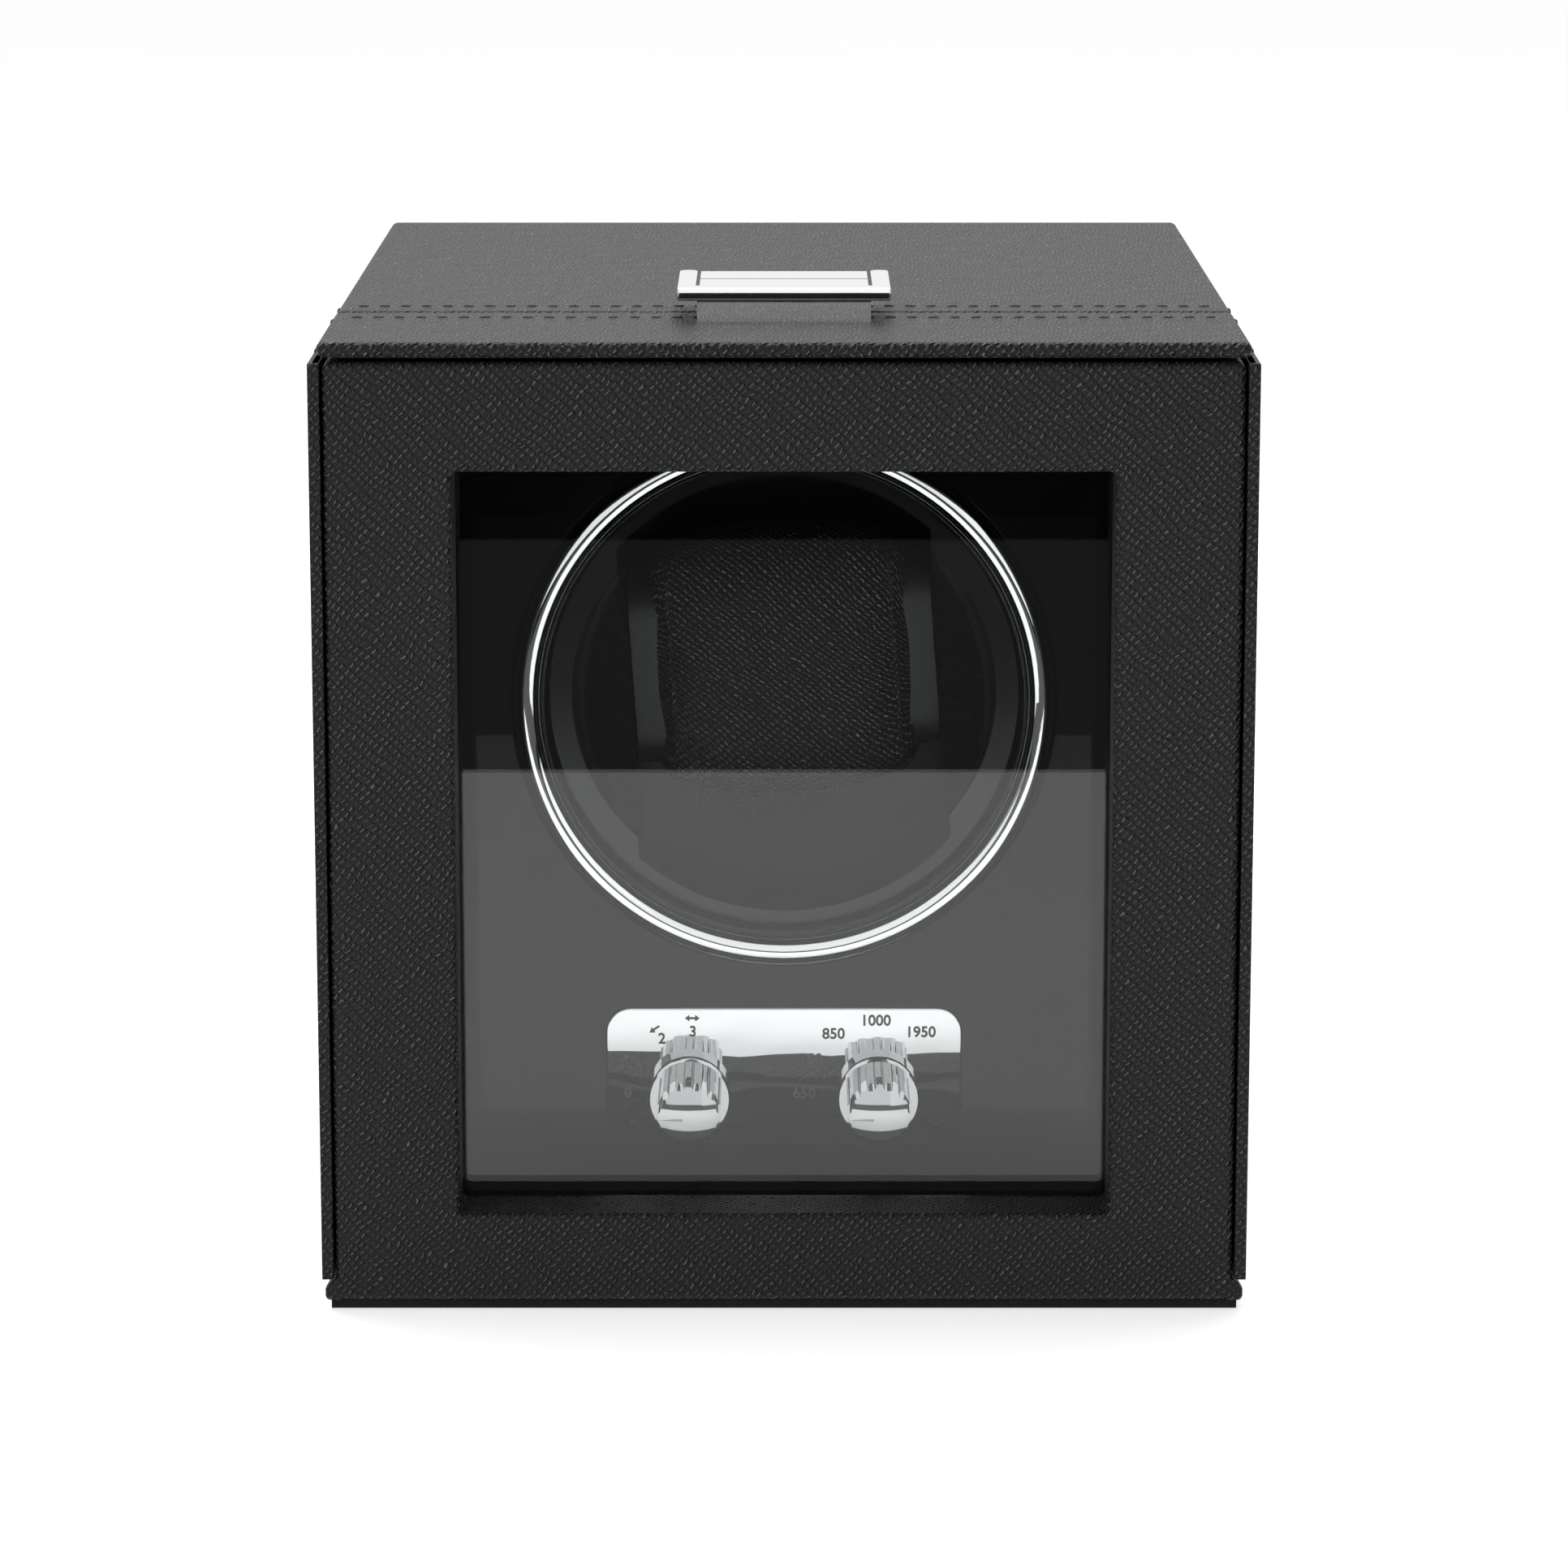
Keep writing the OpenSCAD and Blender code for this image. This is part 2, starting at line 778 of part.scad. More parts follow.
// Cup with a flat floor and a hub for the axle
module drum_cup() {
    color("#131314") on_axis() difference() {
        union() {
            difference() {
                bar_y(drum_r, [drum_y, drum_back], 0, 0, 96);
                bar_y(drum_in, [drum_y - 1, drum_back - drum_floor], 0, 0, 96);
            }
            bar_y(11, [drum_back - drum_floor - 3, drum_back - drum_floor + eps]);
        }
        bar_y(axle_r, [drum_y, drum_back + 1]);
        pulley_screw_places() bar_y(pulley_screw_r, [drum_y, drum_back + 1]);
    }
}

// A side cheek, flush with the rim, with a scooped recess for the fingers
module cheek() {
    scoop_r = 34;
    scoop_x = 3.5;
    cheek_l = 40;
    difference() {
        bar_y(drum_in, [drum_y, drum_y + cheek_l], 0, 0, 96);
        block([-2 * drum_r, cheek_x], [drum_y - 1, drum_y + cheek_l + 1], [-2 * drum_r, 2 * drum_r]);
        translate([scoop_x, drum_y, 0]) sphere(r = scoop_r, $fn = 96);
    }
}

module right_cheek() {
    color("#1a1a1b") on_axis() cheek();
}

module left_cheek() {
    color("#1a1a1b") on_axis() mirror([1, 0, 0]) cheek();
}

module drum_axle() {
    color("#b4b6b9") on_axis() difference() {
        bar_y(axle_r, [drum_back - drum_floor - 3, carrier_back + 6]);
        difference() {
            bar_y(axle_r + 1, [carrier_back + 3, carrier_back + 4]);
            bar_y(axle_r - 0.6, [carrier_back + 2, carrier_back + 5]);
        }
    }
}

module retaining_clip() {
    color("#8d8f92") on_axis() difference() {
        bar_y(5.2, [carrier_back + 3.1, carrier_back + 3.9]);
        bar_y(axle_r - 0.6, [carrier_back + 2, carrier_back + 5]);
        block([-1.6, 1.6], [carrier_back, carrier_back + 9], [-8, 0]);
    }
}

// A flanged pulley with a flat groove
module pulley(groove_r, bore_r) {
    y0 = drum_back;
    difference() {
        union() {
            bar_y(groove_r, [y0, y0 + pulley_d], 0, 0, 96);
            bar_y(groove_r + flange_h, [y0, y0 + flange_t], 0, 0, 96);
            bar_y(groove_r + flange_h, [y0 + pulley_d - flange_t, y0 + pulley_d], 0, 0, 96);
        }
        bar_y(bore_r, [y0 - 1, y0 + pulley_d + 1]);
    }
}

module pulley_screw_places() {
    for (a = [0 : 120 : 240]) rotate([0, a, 0]) translate([0, 0, pulley_screw_ring]) children();
}

module drum_pulley() {
    color("#ded9cc") on_axis() difference() {
        pulley(drum_pulley_r, axle_r);
        pulley_screw_places() bar_y(pulley_screw_r + run_gap, [drum_back - 1, drum_back + pulley_d + 1]);
    }
}

module pulley_screws() {
    color("#8d8f92") on_axis() pulley_screw_places() {
        bar_y(pulley_screw_r, [drum_back - drum_floor, drum_back + pulley_d]);
        bar_y(2.4, [drum_back + pulley_d, drum_back + pulley_d + 1.5]);
    }
}

// ---- cushion ----

// A round-cornered outline in y and z, extruded along x
module shell_outline(grow) {
    y = [cushion_y + 6 - grow, cushion_y + cushion_d - 6 + grow];
    z = [-cushion_h / 2 + 8 - grow, cushion_h / 2 - 8 + grow];
    rounded(y, z, 9 + grow);
}

module along_x(half) {
    rotate([90, 0, 90]) translate([0, 0, -half]) linear_extrude(2 * half) children();
}

// A sprung shell, slit along its back, with an end cap on each side
module cushion_core() {
    slit = 3;
    color("#2c2c2e") on_axis() {
        along_x(core_x) difference() {
            shell_outline(-shell_t);
            shell_outline(-2 * shell_t);
            translate([cushion_y + cushion_d - 16, -slit / 2]) square([20, slit]);
        }
        for (x = [-core_x, core_x - cap_t]) translate([x + cap_t / 2, 0, 0])
            along_x(cap_t / 2) shell_outline(-2 * shell_t + eps);
    }
}

// The padded leather cover, pulled over the core: round-cornered from all three sides
module cushion_cover() {
    half_x = cushion_w / 2;
    half_z = cushion_h / 2;
    y = [cushion_y, cushion_y + cushion_d];
    color("#262627") on_axis() difference() {
        intersection() {
            along_x(half_x) rounded(y, [-half_z, half_z], 15);
            slab_y(y) rounded([-half_x, half_x], [-half_z, half_z], 14);
            translate([0, 0, -half_z]) linear_extrude(2 * half_z) rounded([-half_x, half_x], y, 12);
        }
        along_x(cushion_w) shell_outline(-shell_t);
    }
}

// ---- drive ----

module carrier_board() {
    color("#2a2826") difference() {
        middle_block(inner_x, [carrier_y, carrier_back], [floor_z, core_low]);
        bar_y(bush_r, [carrier_y - 1, carrier_back + 1], 0, axis_z);
        bar_y(6, [carrier_y - 1, carrier_back + 1], motor_x, motor_z);
        motor_screw_places() bar_y(motor_screw_r + 0.35, [carrier_y - 1, carrier_back + 1]);
        bearing_screw_places() bar_y(bearing_screw_r, [carrier_y - 1, carrier_back + 1]);
        block([16, 48], [carrier_y - 1, carrier_back + 1], [floor_z - 1, 28]);
    }
}

module bearing_screw_places() {
    for (x = [-bearing_screw_x, bearing_screw_x], z = [-bearing_screw_x, bearing_screw_x])
        translate([x, 0, axis_z + z]) children();
}

// A square flange with a round boss for the front bushing
module bearing_block() {
    color("#3c3e41") difference() {
        union() {
            slab_y([carrier_y - 4, carrier_y])
                rounded([-17, 17], [axis_z - 17, axis_z + 17], 3);
            bar_y(9, [carrier_y - 12, carrier_y - 4 + eps], 0, axis_z);
        }
        bar_y(bush_r, [carrier_y - 14, carrier_y + 1], 0, axis_z);
        bearing_screw_places() bar_y(bearing_screw_r + 0.1, [carrier_y - 6, carrier_y + 1]);
    }
}

module bearing_screws() {
    color("#8d8f92") bearing_screw_places() {
        bar_y(bearing_screw_r, [carrier_y - 4, carrier_back]);
        bar_y(2.8, [carrier_y - 5.8, carrier_y - 4]);
    }
}

// Flanged bushings in the bearing block and in the back of the carrier board
module axle_bushings() {
    color("#b08d4f") for (spot = [[carrier_y - 12, carrier_y - 4, carrier_y - 13],
                                  [carrier_back - 7, carrier_back, carrier_back]])
        translate([0, 0, axis_z]) difference() {
            union() {
                bar_y(bush_r, [spot[0], spot[1]]);
                bar_y(7, [spot[2], spot[2] + 1]);
            }
            bar_y(axle_r + run_gap, [spot[0] - 2, spot[1] + 2]);
        }
}

module gearmotor() {
    gear_back = carrier_back + gearbox_l;
    can_back = gear_back + can_l;
    color("#9da0a3") translate([motor_x, 0, motor_z]) difference() {
        union() {
            bar_y(gearbox_r, [carrier_back, gear_back]);
            bar_y(can_r, [gear_back - eps, can_back]);
            bar_y(3, [can_back - eps, can_back + 1.5]);
        }
        bar_y(motor_shaft_r + run_gap, [carrier_back - 1, carrier_back + 6]);
        for (x = [-motor_screw_x, motor_screw_x])
            bar_y(motor_screw_r, [carrier_back - 1, carrier_back + 6], x);
    }
}

module motor_screw_places() {
    for (x = [-motor_screw_x, motor_screw_x]) translate([motor_x + x, 0, motor_z]) children();
}

module motor_screws() {
    color("#8d8f92") motor_screw_places() {
        bar_y(motor_screw_r, [carrier_y, carrier_back + 5]);
        bar_y(2.4, [carrier_y - 1.8, carrier_y]);
    }
}

module motor_shaft() {
    color("#b4b6b9")
        bar_y(motor_shaft_r, [drum_back - 1, carrier_back + 5.5], motor_x, motor_z);
}

module motor_pulley() {
    color("#ded9cc") translate([motor_x, 0, motor_z]) pulley(motor_pulley_r, motor_shaft_r);
}

// The outline of a loop round both pulleys: two circles and the four tangent points
module belt_outline(r1, r2) {
    dx = motor_x;
    dz = motor_z - axis_z;
    gap = norm([dx, dz]);
    along = atan2(dz, dx);
    lean = acos((r1 - r2) / gap);
    c1 = [0, axis_z];
    c2 = [motor_x, motor_z];
    function at(c, r, a) = c + r * [cos(a), sin(a)];
    translate(c1) circle(r = r1, $fn = 96);
    translate(c2) circle(r = r2, $fn = round_fn);
    polygon([at(c1, r1, along + lean), at(c2, r2, along + lean),
             at(c2, r2, along - lean), at(c1, r1, along - lean)]);
}

module drive_belt() {
    y0 = drum_back + (pulley_d - belt_w) / 2;
    r1 = drum_pulley_r + belt_gap;
    r2 = motor_pulley_r + belt_gap;
    color("#19191a") slab_y([y0, y0 + belt_w]) difference() {
        belt_outline(r1 + belt_t, r2 + belt_t);
        belt_outline(r1, r2);
    }
}

// ---- power ----

// A round socket with a centre pin, flush with the back
module power_inlet() {
    socket_r = 3.1;
    pin_r = 1.05;
    color("#28282a") translate([inlet_x, 0, inlet_z]) {
        difference() {
            union() {
                bar_y(inlet_rim_r, [back_y - inlet_rim_t, back_y]);
                bar_y(inlet_r, [back_in - 7, back_y - inlet_rim_t + eps]);
            }
            bar_y(socket_r, [back_in - 3, back_y + 1]);
        }
        bar_y(pin_r, [back_in - 3 - eps, back_y - 2]);
    }
}

module inlet_nut() {
    color("#b4b6b9") translate([inlet_x, 0, inlet_z]) difference() {
        bar_y(inlet_nut_r, [back_in - 3, back_in], 0, 0, 6);
        bar_y(inlet_r, [back_in - 4, back_in + 1]);
    }
}

lead_front = circuit_y + circuit_t + 5;
power_route = [
    [inlet_x, back_in - 7, inlet_z], [inlet_x, back_in - 14, inlet_z], [42, 62, 17],
    [36, 52, 14], [30, 42, 13], [28, 30, 12], [28, 10, 12], [28, -10, 12],
    [28, -28, 15], [28, -37, 21], [28, lead_front, 22]
];
motor_route = [
    [-30, 76, 44], [-30, 81, 43], [-29, 83, 36], [-27, 81, 24], [-18, 76, 15],
    [0, 66, 12], [16, 54, 12], [23, 42, 12], [24, 28, 12], [22, 8, 12],
    [20, -12, 12], [20, -28, 15], [20, -37, 21], [20, lead_front, 22]
];

module power_lead() {
    color("#161617") swept_lead(smooth_route(power_route, 4), lead_r);
}

module motor_lead() {
    color("#7a1f1f") swept_lead(smooth_route(motor_route, 4), lead_r);
}

base_sheet();
base_board();
left_wall();
right_wall();
back_wall();
case_leather();
rear_top_board();
rear_top_leather();
fascia_battens();
fascia_panel();
fascia_screws();
bezel_ring();
control_plate();
direction_switch();
turns_switch();
circuit_board();
board_standoffs();
carrier_board();
bearing_block();
bearing_screws();
axle_bushings();
gearmotor();
motor_screws();
drive_belt();
power_inlet();
inlet_nut();
power_lead();
motor_lead();
latch_strike();
strike_screws();
door_board();
door_leather();
window_glass();
glass_retainer();
retainer_screws();
cover_screws();
strip_board();
strip_leather();
latch_base();
latch_frame();
latch_screws();
latch_pin();
latch_spring();
latch_tongue();
drum_cup();
left_cheek();
right_cheek();
drum_axle();
drum_pulley();
pulley_screws();
retaining_clip();
motor_shaft();
motor_pulley();
cushion_core();
cushion_cover();
direction_knob();
direction_shaft();
turns_knob();
turns_shaft();
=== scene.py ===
import math
import random

import bmesh
import bpy
from mathutils import Matrix, Vector


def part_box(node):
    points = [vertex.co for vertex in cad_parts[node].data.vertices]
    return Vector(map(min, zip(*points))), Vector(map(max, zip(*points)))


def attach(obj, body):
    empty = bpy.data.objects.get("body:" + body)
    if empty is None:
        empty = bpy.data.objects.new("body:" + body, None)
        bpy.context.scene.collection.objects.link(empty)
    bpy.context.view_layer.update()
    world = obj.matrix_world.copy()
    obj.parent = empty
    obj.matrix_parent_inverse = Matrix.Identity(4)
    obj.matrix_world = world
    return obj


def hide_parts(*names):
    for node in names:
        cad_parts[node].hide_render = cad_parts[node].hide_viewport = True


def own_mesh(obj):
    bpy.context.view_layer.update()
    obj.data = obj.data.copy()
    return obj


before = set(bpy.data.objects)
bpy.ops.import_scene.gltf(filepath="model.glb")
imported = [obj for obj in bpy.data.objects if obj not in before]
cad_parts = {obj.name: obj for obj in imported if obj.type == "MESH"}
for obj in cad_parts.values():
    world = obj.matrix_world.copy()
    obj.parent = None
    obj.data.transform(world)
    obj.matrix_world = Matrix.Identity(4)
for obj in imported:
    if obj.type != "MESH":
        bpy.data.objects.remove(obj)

for left_over in ("Cube", "Light", "Camera"):
    if left_over in bpy.data.objects:
        bpy.data.objects.remove(bpy.data.objects[left_over])
bpy.context.view_layer.update()

MM = 0.001
scene = bpy.context.scene
random.seed(7)


# ---- node graphs ----

class Graph:
    """A small helper that adds nodes to one material."""

    def __init__(self, name):
        self.mat = bpy.data.materials.new(name)
        self.mat.use_nodes = True
        self.nt = self.mat.node_tree
        self.nt.nodes.clear()
        self.out = self.nt.nodes.new("ShaderNodeOutputMaterial")

    def put(self, socket, value):
        if isinstance(value, bpy.types.NodeSocket):
            self.nt.links.new(value, socket)
        elif value is not None:
            socket.default_value = value

    def node(self, kind, settings=None, **inputs):
        n = self.nt.nodes.new("ShaderNode" + kind)
        for key, value in (settings or {}).items():
            setattr(n, key, value)
        for key, value in inputs.items():
            self.put(n.inputs[key.replace("_", " ")], value)
        return n

    def math(self, op, a, b=None, c=None):
        n = self.node("Math", {"operation": op})
        for socket, value in zip(n.inputs, (a, b, c)):
            self.put(socket, value)
        return n.outputs[0]

    def vmath(self, op, a, b=None):
        n = self.node("VectorMath", {"operation": op})
        self.put(n.inputs[0], a)
        self.put(n.inputs[1], b)
        return n.outputs[0]

    def smooth(self, value, lo, hi, to_lo=0.0, to_hi=1.0):
        n = self.node("MapRange", {"interpolation_type": "SMOOTHSTEP"})
        for key, v in (("Value", value), ("From Min", lo), ("From Max", hi),
                       ("To Min", to_lo), ("To Max", to_hi)):
            self.put(n.inputs[key], v)
        return n.outputs[0]

    def noise(self, vector, scale, detail=2.0, rough=0.5):
        return self.node("TexNoise", None, Vector=vector, Scale=scale, Detail=detail,
                         Roughness=rough)

    def mix(self, factor, a, b):
        n = self.node("Mix", {"data_type": "RGBA"})
        self.put(n.inputs["Factor"], factor)
        self.put(n.inputs[6], a)
        self.put(n.inputs[7], b)
        return n.outputs[2]

    def finish(self, shader):
        self.nt.links.new(shader.outputs[0], self.out.inputs["Surface"])
        return self.mat


def grey(value, tint=0.0):
    return (value, value, value * (1 + tint), 1)


def plain(name, colour, rough, metal=0.0, grain=400.0, bump=0.02, vary=0.25, spec=0.5):
    """A finish with a little colour and gloss variation and a fine surface texture."""
    rough_vary = 0.12
    g = Graph(name)
    place = g.node("TexCoord").outputs["Object"]
    large = g.noise(place, 35.0, 3.0).outputs["Fac"]
    fine = g.noise(place, grain, 4.0, 0.6).outputs["Fac"]
    low = tuple(c * (1 - vary) for c in colour[:3]) + (1,)
    high = tuple(min(1, c * (1 + vary)) for c in colour[:3]) + (1,)
    p = g.node("BsdfPrincipled")
    g.put(p.inputs["Base Color"], g.mix(large, low, high))
    g.put(p.inputs["Roughness"], g.smooth(fine, 0.3, 0.7, rough * (1 - rough_vary),
                                          rough * (1 + rough_vary)))
    p.inputs["Metallic"].default_value = metal
    p.inputs["Specular IOR Level"].default_value = spec
    if bump:
        b = g.node("Bump", None, Strength=1.0, Distance=bump * MM, Height=fine)
        g.put(p.inputs["Normal"], b.outputs[0])
    return g.finish(p)


def leather(name, relief=0.42, colour=0.0065, rough=0.36, warp=1.1):
    """Cross-hatch embossed leather with a painted highlight: the upper-left edge of each ridge is
    coloured lighter. Its pattern follows the UV map, which is in millimetres.
    """
    pitch, lean, shiver = (1.35, 1.02), 48.0, 0.45
    # The second number is how many times lighter the painted highlight on each ridge is.
    row_slip, crest_highlight_gain = 0.14, 26.0
    g = Graph(name)
    uv = g.node("TexCoord").outputs["UV"]
    drift = g.noise(uv, 0.17, 1.5).outputs["Color"]
    drift = g.vmath("SUBTRACT", drift, (0.5, 0.5, 0.5))
    drift = g.vmath("MULTIPLY", drift, (warp * 2, warp * 2, 0))
    shake = g.noise(uv, 0.9, 0.0).outputs["Color"]
    shake = g.vmath("SUBTRACT", shake, (0.5, 0.5, 0.5))
    shake = g.vmath("MULTIPLY", shake, (shiver, shiver, 0))
    place = g.vmath("ADD", g.vmath("ADD", uv, drift), shake)
    turned = g.node("VectorRotate", {"rotation_type": "Z_AXIS"}, Vector=place,
                    Angle=-math.radians(lean))
    axes = g.node("SeparateXYZ", None, Vector=turned.outputs[0])
    across = g.math("DIVIDE", axes.outputs["Y"], -pitch[1])
    row = g.math("FLOOR", across)
    row_shift = g.node("TexWhiteNoise", {"noise_dimensions": "1D"}, W=row).outputs["Value"]
    along = g.math("ADD", g.math("DIVIDE", axes.outputs["X"], pitch[0]),
                   g.math("MULTIPLY", row_shift, row_slip))
    cell = g.node("CombineXYZ", None, X=g.math("FLOOR", along), Y=row)
    chance = g.node("TexWhiteNoise", {"noise_dimensions": "2D"}, Vector=cell.outputs[0])
    chance = chance.outputs["Value"]
    ends = g.smooth(g.math("PINGPONG", along, 0.5), 0.07, 0.24)
    depth = g.math("FRACT", across)
    rise = g.smooth(depth, 0.0, 0.24)
    fall = g.smooth(depth, 0.26, 0.95, 1.0, 0.0)
    ridge = g.math("MULTIPLY", g.math("MULTIPLY", rise, fall), ends)
    height = g.math("MULTIPLY", ridge, g.math("MULTIPLY_ADD", chance, 0.75, 0.4))
    fine = g.noise(uv, 4.5, 3.0).outputs["Fac"]
    height = g.math("MULTIPLY_ADD", fine, 0.22, height)
    # Painted highlight: the upper-left edge of each ridge is made up to 26 times lighter in colour,
    # standing in for the light it catches.
    crest_highlight = g.math("MULTIPLY", g.smooth(depth, 0.04, 0.16), g.smooth(depth, 0.22, 0.4, 1.0, 0.0))
    crest_highlight = g.math("MULTIPLY", g.math("MULTIPLY", crest_highlight, ends),
                   g.math("MULTIPLY_ADD", chance, 0.8, 0.2))
    tone = g.mix(crest_highlight, grey(colour, 0.02), grey(colour * crest_highlight_gain, 0.02))
    p = g.node("BsdfPrincipled")
    g.put(p.inputs["Base Color"], tone)
    g.put(p.inputs["Roughness"], g.smooth(height, 0.2, 1.0, rough * 1.2, rough * 0.75))
    p.inputs["Specular IOR Level"].default_value = 0.22
    b = g.node("Bump", None, Strength=1.0, Distance=relief * MM, Height=height)
    g.put(p.inputs["Normal"], b.outputs[0])
    return g.finish(p)


def glass(name):
    """A clear pane: it lets light straight through and mirrors more at a flat angle."""
    g = Graph(name)
    clear = g.node("BsdfTransparent", None, Color=(0.97, 0.98, 0.98, 1))
    place = g.node("TexCoord").outputs["Object"]
    dust = g.noise(place, 900.0, 1.0).outputs["Fac"]
    mirror = g.node("BsdfGlossy", None, Color=(1, 1, 1, 1))
    g.put(mirror.inputs["Roughness"], g.smooth(dust, 0.7, 0.8, 0.0, 0.012))
    share = g.node("Fresnel", None, IOR=1.44).outputs[0]
    both = g.node("MixShader")
    g.put(both.inputs[0], share)
    g.put(both.inputs[1], clear.outputs[0])
    g.put(both.inputs[2], mirror.outputs[0])
    return g.finish(both)


def plate_chrome(name, bend_z):
    """Polished chrome. Its bump leans the part below bend_z and waves it like pressed sheet."""
    lean, bend_soft, wave_height = 0.19, 0.006, 0.0003
    g = Graph(name)
    place = g.node("TexCoord").outputs["Object"]
    z = g.node("SeparateXYZ", None, Vector=place).outputs["Z"]
    wave = g.noise(g.vmath("MULTIPLY", place, (45.0, 0.0, 110.0)), 1.0, 1.0).outputs["Fac"]
    below = g.math("SMOOTH_MIN", g.math("SUBTRACT", z, bend_z), 0.0, bend_soft)
    height = g.math("MULTIPLY_ADD", wave, wave_height, g.math("MULTIPLY", below, lean))
    p = g.node("BsdfPrincipled")
    tone = g.noise(place, 40.0).outputs["Fac"]
    g.put(p.inputs["Base Color"], g.mix(tone, grey(0.72), grey(0.77, 0.01)))
    p.inputs["Metallic"].default_value = 1.0
    p.inputs["Roughness"].default_value = 0.03
    b = g.node("Bump", None, Strength=1.0, Distance=1.0, Height=height)
    g.put(p.inputs["Normal"], b.outputs[0])
    return g.finish(p)


def brushed(name, colour, rough):
    """Plated steel with faint brushing."""
    g = Graph(name)
    place = g.node("TexCoord").outputs["Object"]
    streak = g.vmath("MULTIPLY", place, (2500.0, 2500.0, 120.0))
    lines = g.noise(streak, 1.0, 3.0).outputs["Fac"]
    p = g.node("BsdfPrincipled")
    darker = tuple(c * 0.85 for c in colour[:3]) + (1,)
    g.put(p.inputs["Base Color"], g.mix(lines, darker, colour))
    p.inputs["Metallic"].default_value = 1.0
    g.put(p.inputs["Roughness"], g.smooth(lines, 0.3, 0.7, rough * 0.8, rough * 1.25))
    b = g.node("Bump", None, Strength=1.0, Distance=0.01 * MM, Height=lines)
    g.put(p.inputs["Normal"], b.outputs[0])
    return g.finish(p)


def fibreboard(name):
    """Black-dyed fibreboard with paler fibres."""
    g = Graph(name)
    place = g.node("TexCoord").outputs["Object"]
    long = g.vmath("MULTIPLY", place, (900.0, 900.0, 260.0))
    fibre = g.noise(long, 1.0, 4.0, 0.7).outputs["Fac"]
    p = g.node("BsdfPrincipled")
    pale = g.smooth(fibre, 0.45, 0.75)
    g.put(p.inputs["Base Color"], g.mix(pale, grey(0.016), grey(0.045, -0.1)))
    p.inputs["Roughness"].default_value = 0.8
    b = g.node("Bump", None, Strength=1.0, Distance=0.06 * MM, Height=fibre)
    g.put(p.inputs["Normal"], b.outputs[0])
    return g.finish(p)


FINISH = {
    "base_felt": plain("felt", grey(0.012), 0.9, grain=1500.0, bump=0.1, spec=0.2),
    "board": fibreboard("board"),
    "black_leather": leather("black_leather"),
    "cushion_leather": leather("cushion_leather", relief=0.3, colour=0.012, rough=0.5, warp=0.8),
    "gloss_fascia": plain("gloss_fascia", grey(0.004), 0.02, grain=60.0, bump=0.0, spec=0.12),
    "gloss_drum": plain("gloss_drum", grey(0.01), 0.12, grain=700.0, bump=0.003, spec=0.3),
    "chrome": plain("chrome", grey(0.86, 0.01), 0.035, metal=1.0, grain=45.0, bump=0.006,
                    vary=0.02),
    "steel": brushed("steel", grey(0.56, 0.02), 0.32),
    "motor_steel": brushed("motor_steel", grey(0.5, 0.02), 0.38),
    "switch_plastic": plain("switch_plastic", grey(0.02), 0.5, grain=1200.0, bump=0.03),
    "circuit_green": plain("circuit_green", (0.012, 0.12, 0.045, 1), 0.35, grain=300.0),
    "brass": plain("brass", (0.72, 0.53, 0.22, 1), 0.25, metal=1.0, grain=500.0),
    "bronze": plain("bronze", (0.52, 0.34, 0.16, 1), 0.45, metal=1.0, grain=2500.0),
    "cast_black": plain("cast_black", grey(0.03), 0.55, grain=1100.0, bump=0.08),
    "belt_rubber": plain("belt_rubber", grey(0.012), 0.75, grain=1800.0, bump=0.03),
    "pulley_plastic": plain("pulley_plastic", (0.72, 0.69, 0.6, 1), 0.45, grain=900.0, vary=0.06),
    "black_insulation": plain("black_insulation", grey(0.012), 0.45, grain=700.0),
    "red_insulation": plain("red_insulation", (0.32, 0.015, 0.012, 1), 0.45, grain=700.0,
                            vary=0.1),
    "window_glass": glass("window_glass"),
}
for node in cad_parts.values():
    for i, old in enumerate(node.data.materials):
        node.data.materials[i] = FINISH[old.name]

# Painted shade: the knobs get a copy of the chrome darkened from 0.86 to 0.5, standing in for the
# dark surroundings they mirror.
shaded_knob_chrome = plain("shaded_knob_chrome", grey(0.5, 0.01), 0.04, metal=1.0, grain=45.0, bump=0.006,
                    vary=0.04)
for knob in ("direction_knob", "turns_knob"):
    for i in range(len(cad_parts[knob].data.materials)):
        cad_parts[knob].data.materials[i] = shaded_knob_chrome

# Sewing thread, and the print on the control plate
thread = plain("thread", grey(0.010), 0.55, grain=3000.0, bump=0.05, vary=0.3)
ink = plain("ink", grey(0.045), 0.45, grain=1500.0, bump=0.005)


# ---- mesh helpers ----

def lo_hi(node):
    """The low and high corners of a CAD node, in millimetres."""
    lo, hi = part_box(node)
    return lo / MM, hi / MM


def add(name, mesh, mat):
    mesh.materials.clear()
    mesh.materials.append(mat)
    obj = bpy.data.objects.new(name, mesh)
    scene.collection.objects.link(obj)
    return obj


def mesh_of(name, verts, faces):
    mesh = bpy.data.meshes.new(name)
    mesh.from_pydata([Vector(v) * MM for v in verts], [], faces)
    bm = bmesh.new()
    bm.from_mesh(mesh)
    bmesh.ops.recalc_face_normals(bm, faces=bm.faces)
    bm.to_mesh(mesh)
    bm.free()
    return mesh


def prism(name, outline, axis, lo, hi, mat):
    """A prism in millimetres over an outline, along x, y or z."""
    at = {"x": lambda p, t: (t, p[0], p[1]), "y": lambda p, t: (p[0], t, p[1]),
          "z": lambda p, t: (p[0], p[1], t)}[axis]
    n = len(outline)
    verts = [at(p, lo) for p in outline] + [at(p, hi) for p in outline]
    faces = [list(range(n)), list(range(2 * n - 1, n - 1, -1))]
    faces += [[i, (i + 1) % n, n + (i + 1) % n, n + i] for i in range(n)]
    return add(name, mesh_of(name, verts, faces), mat)


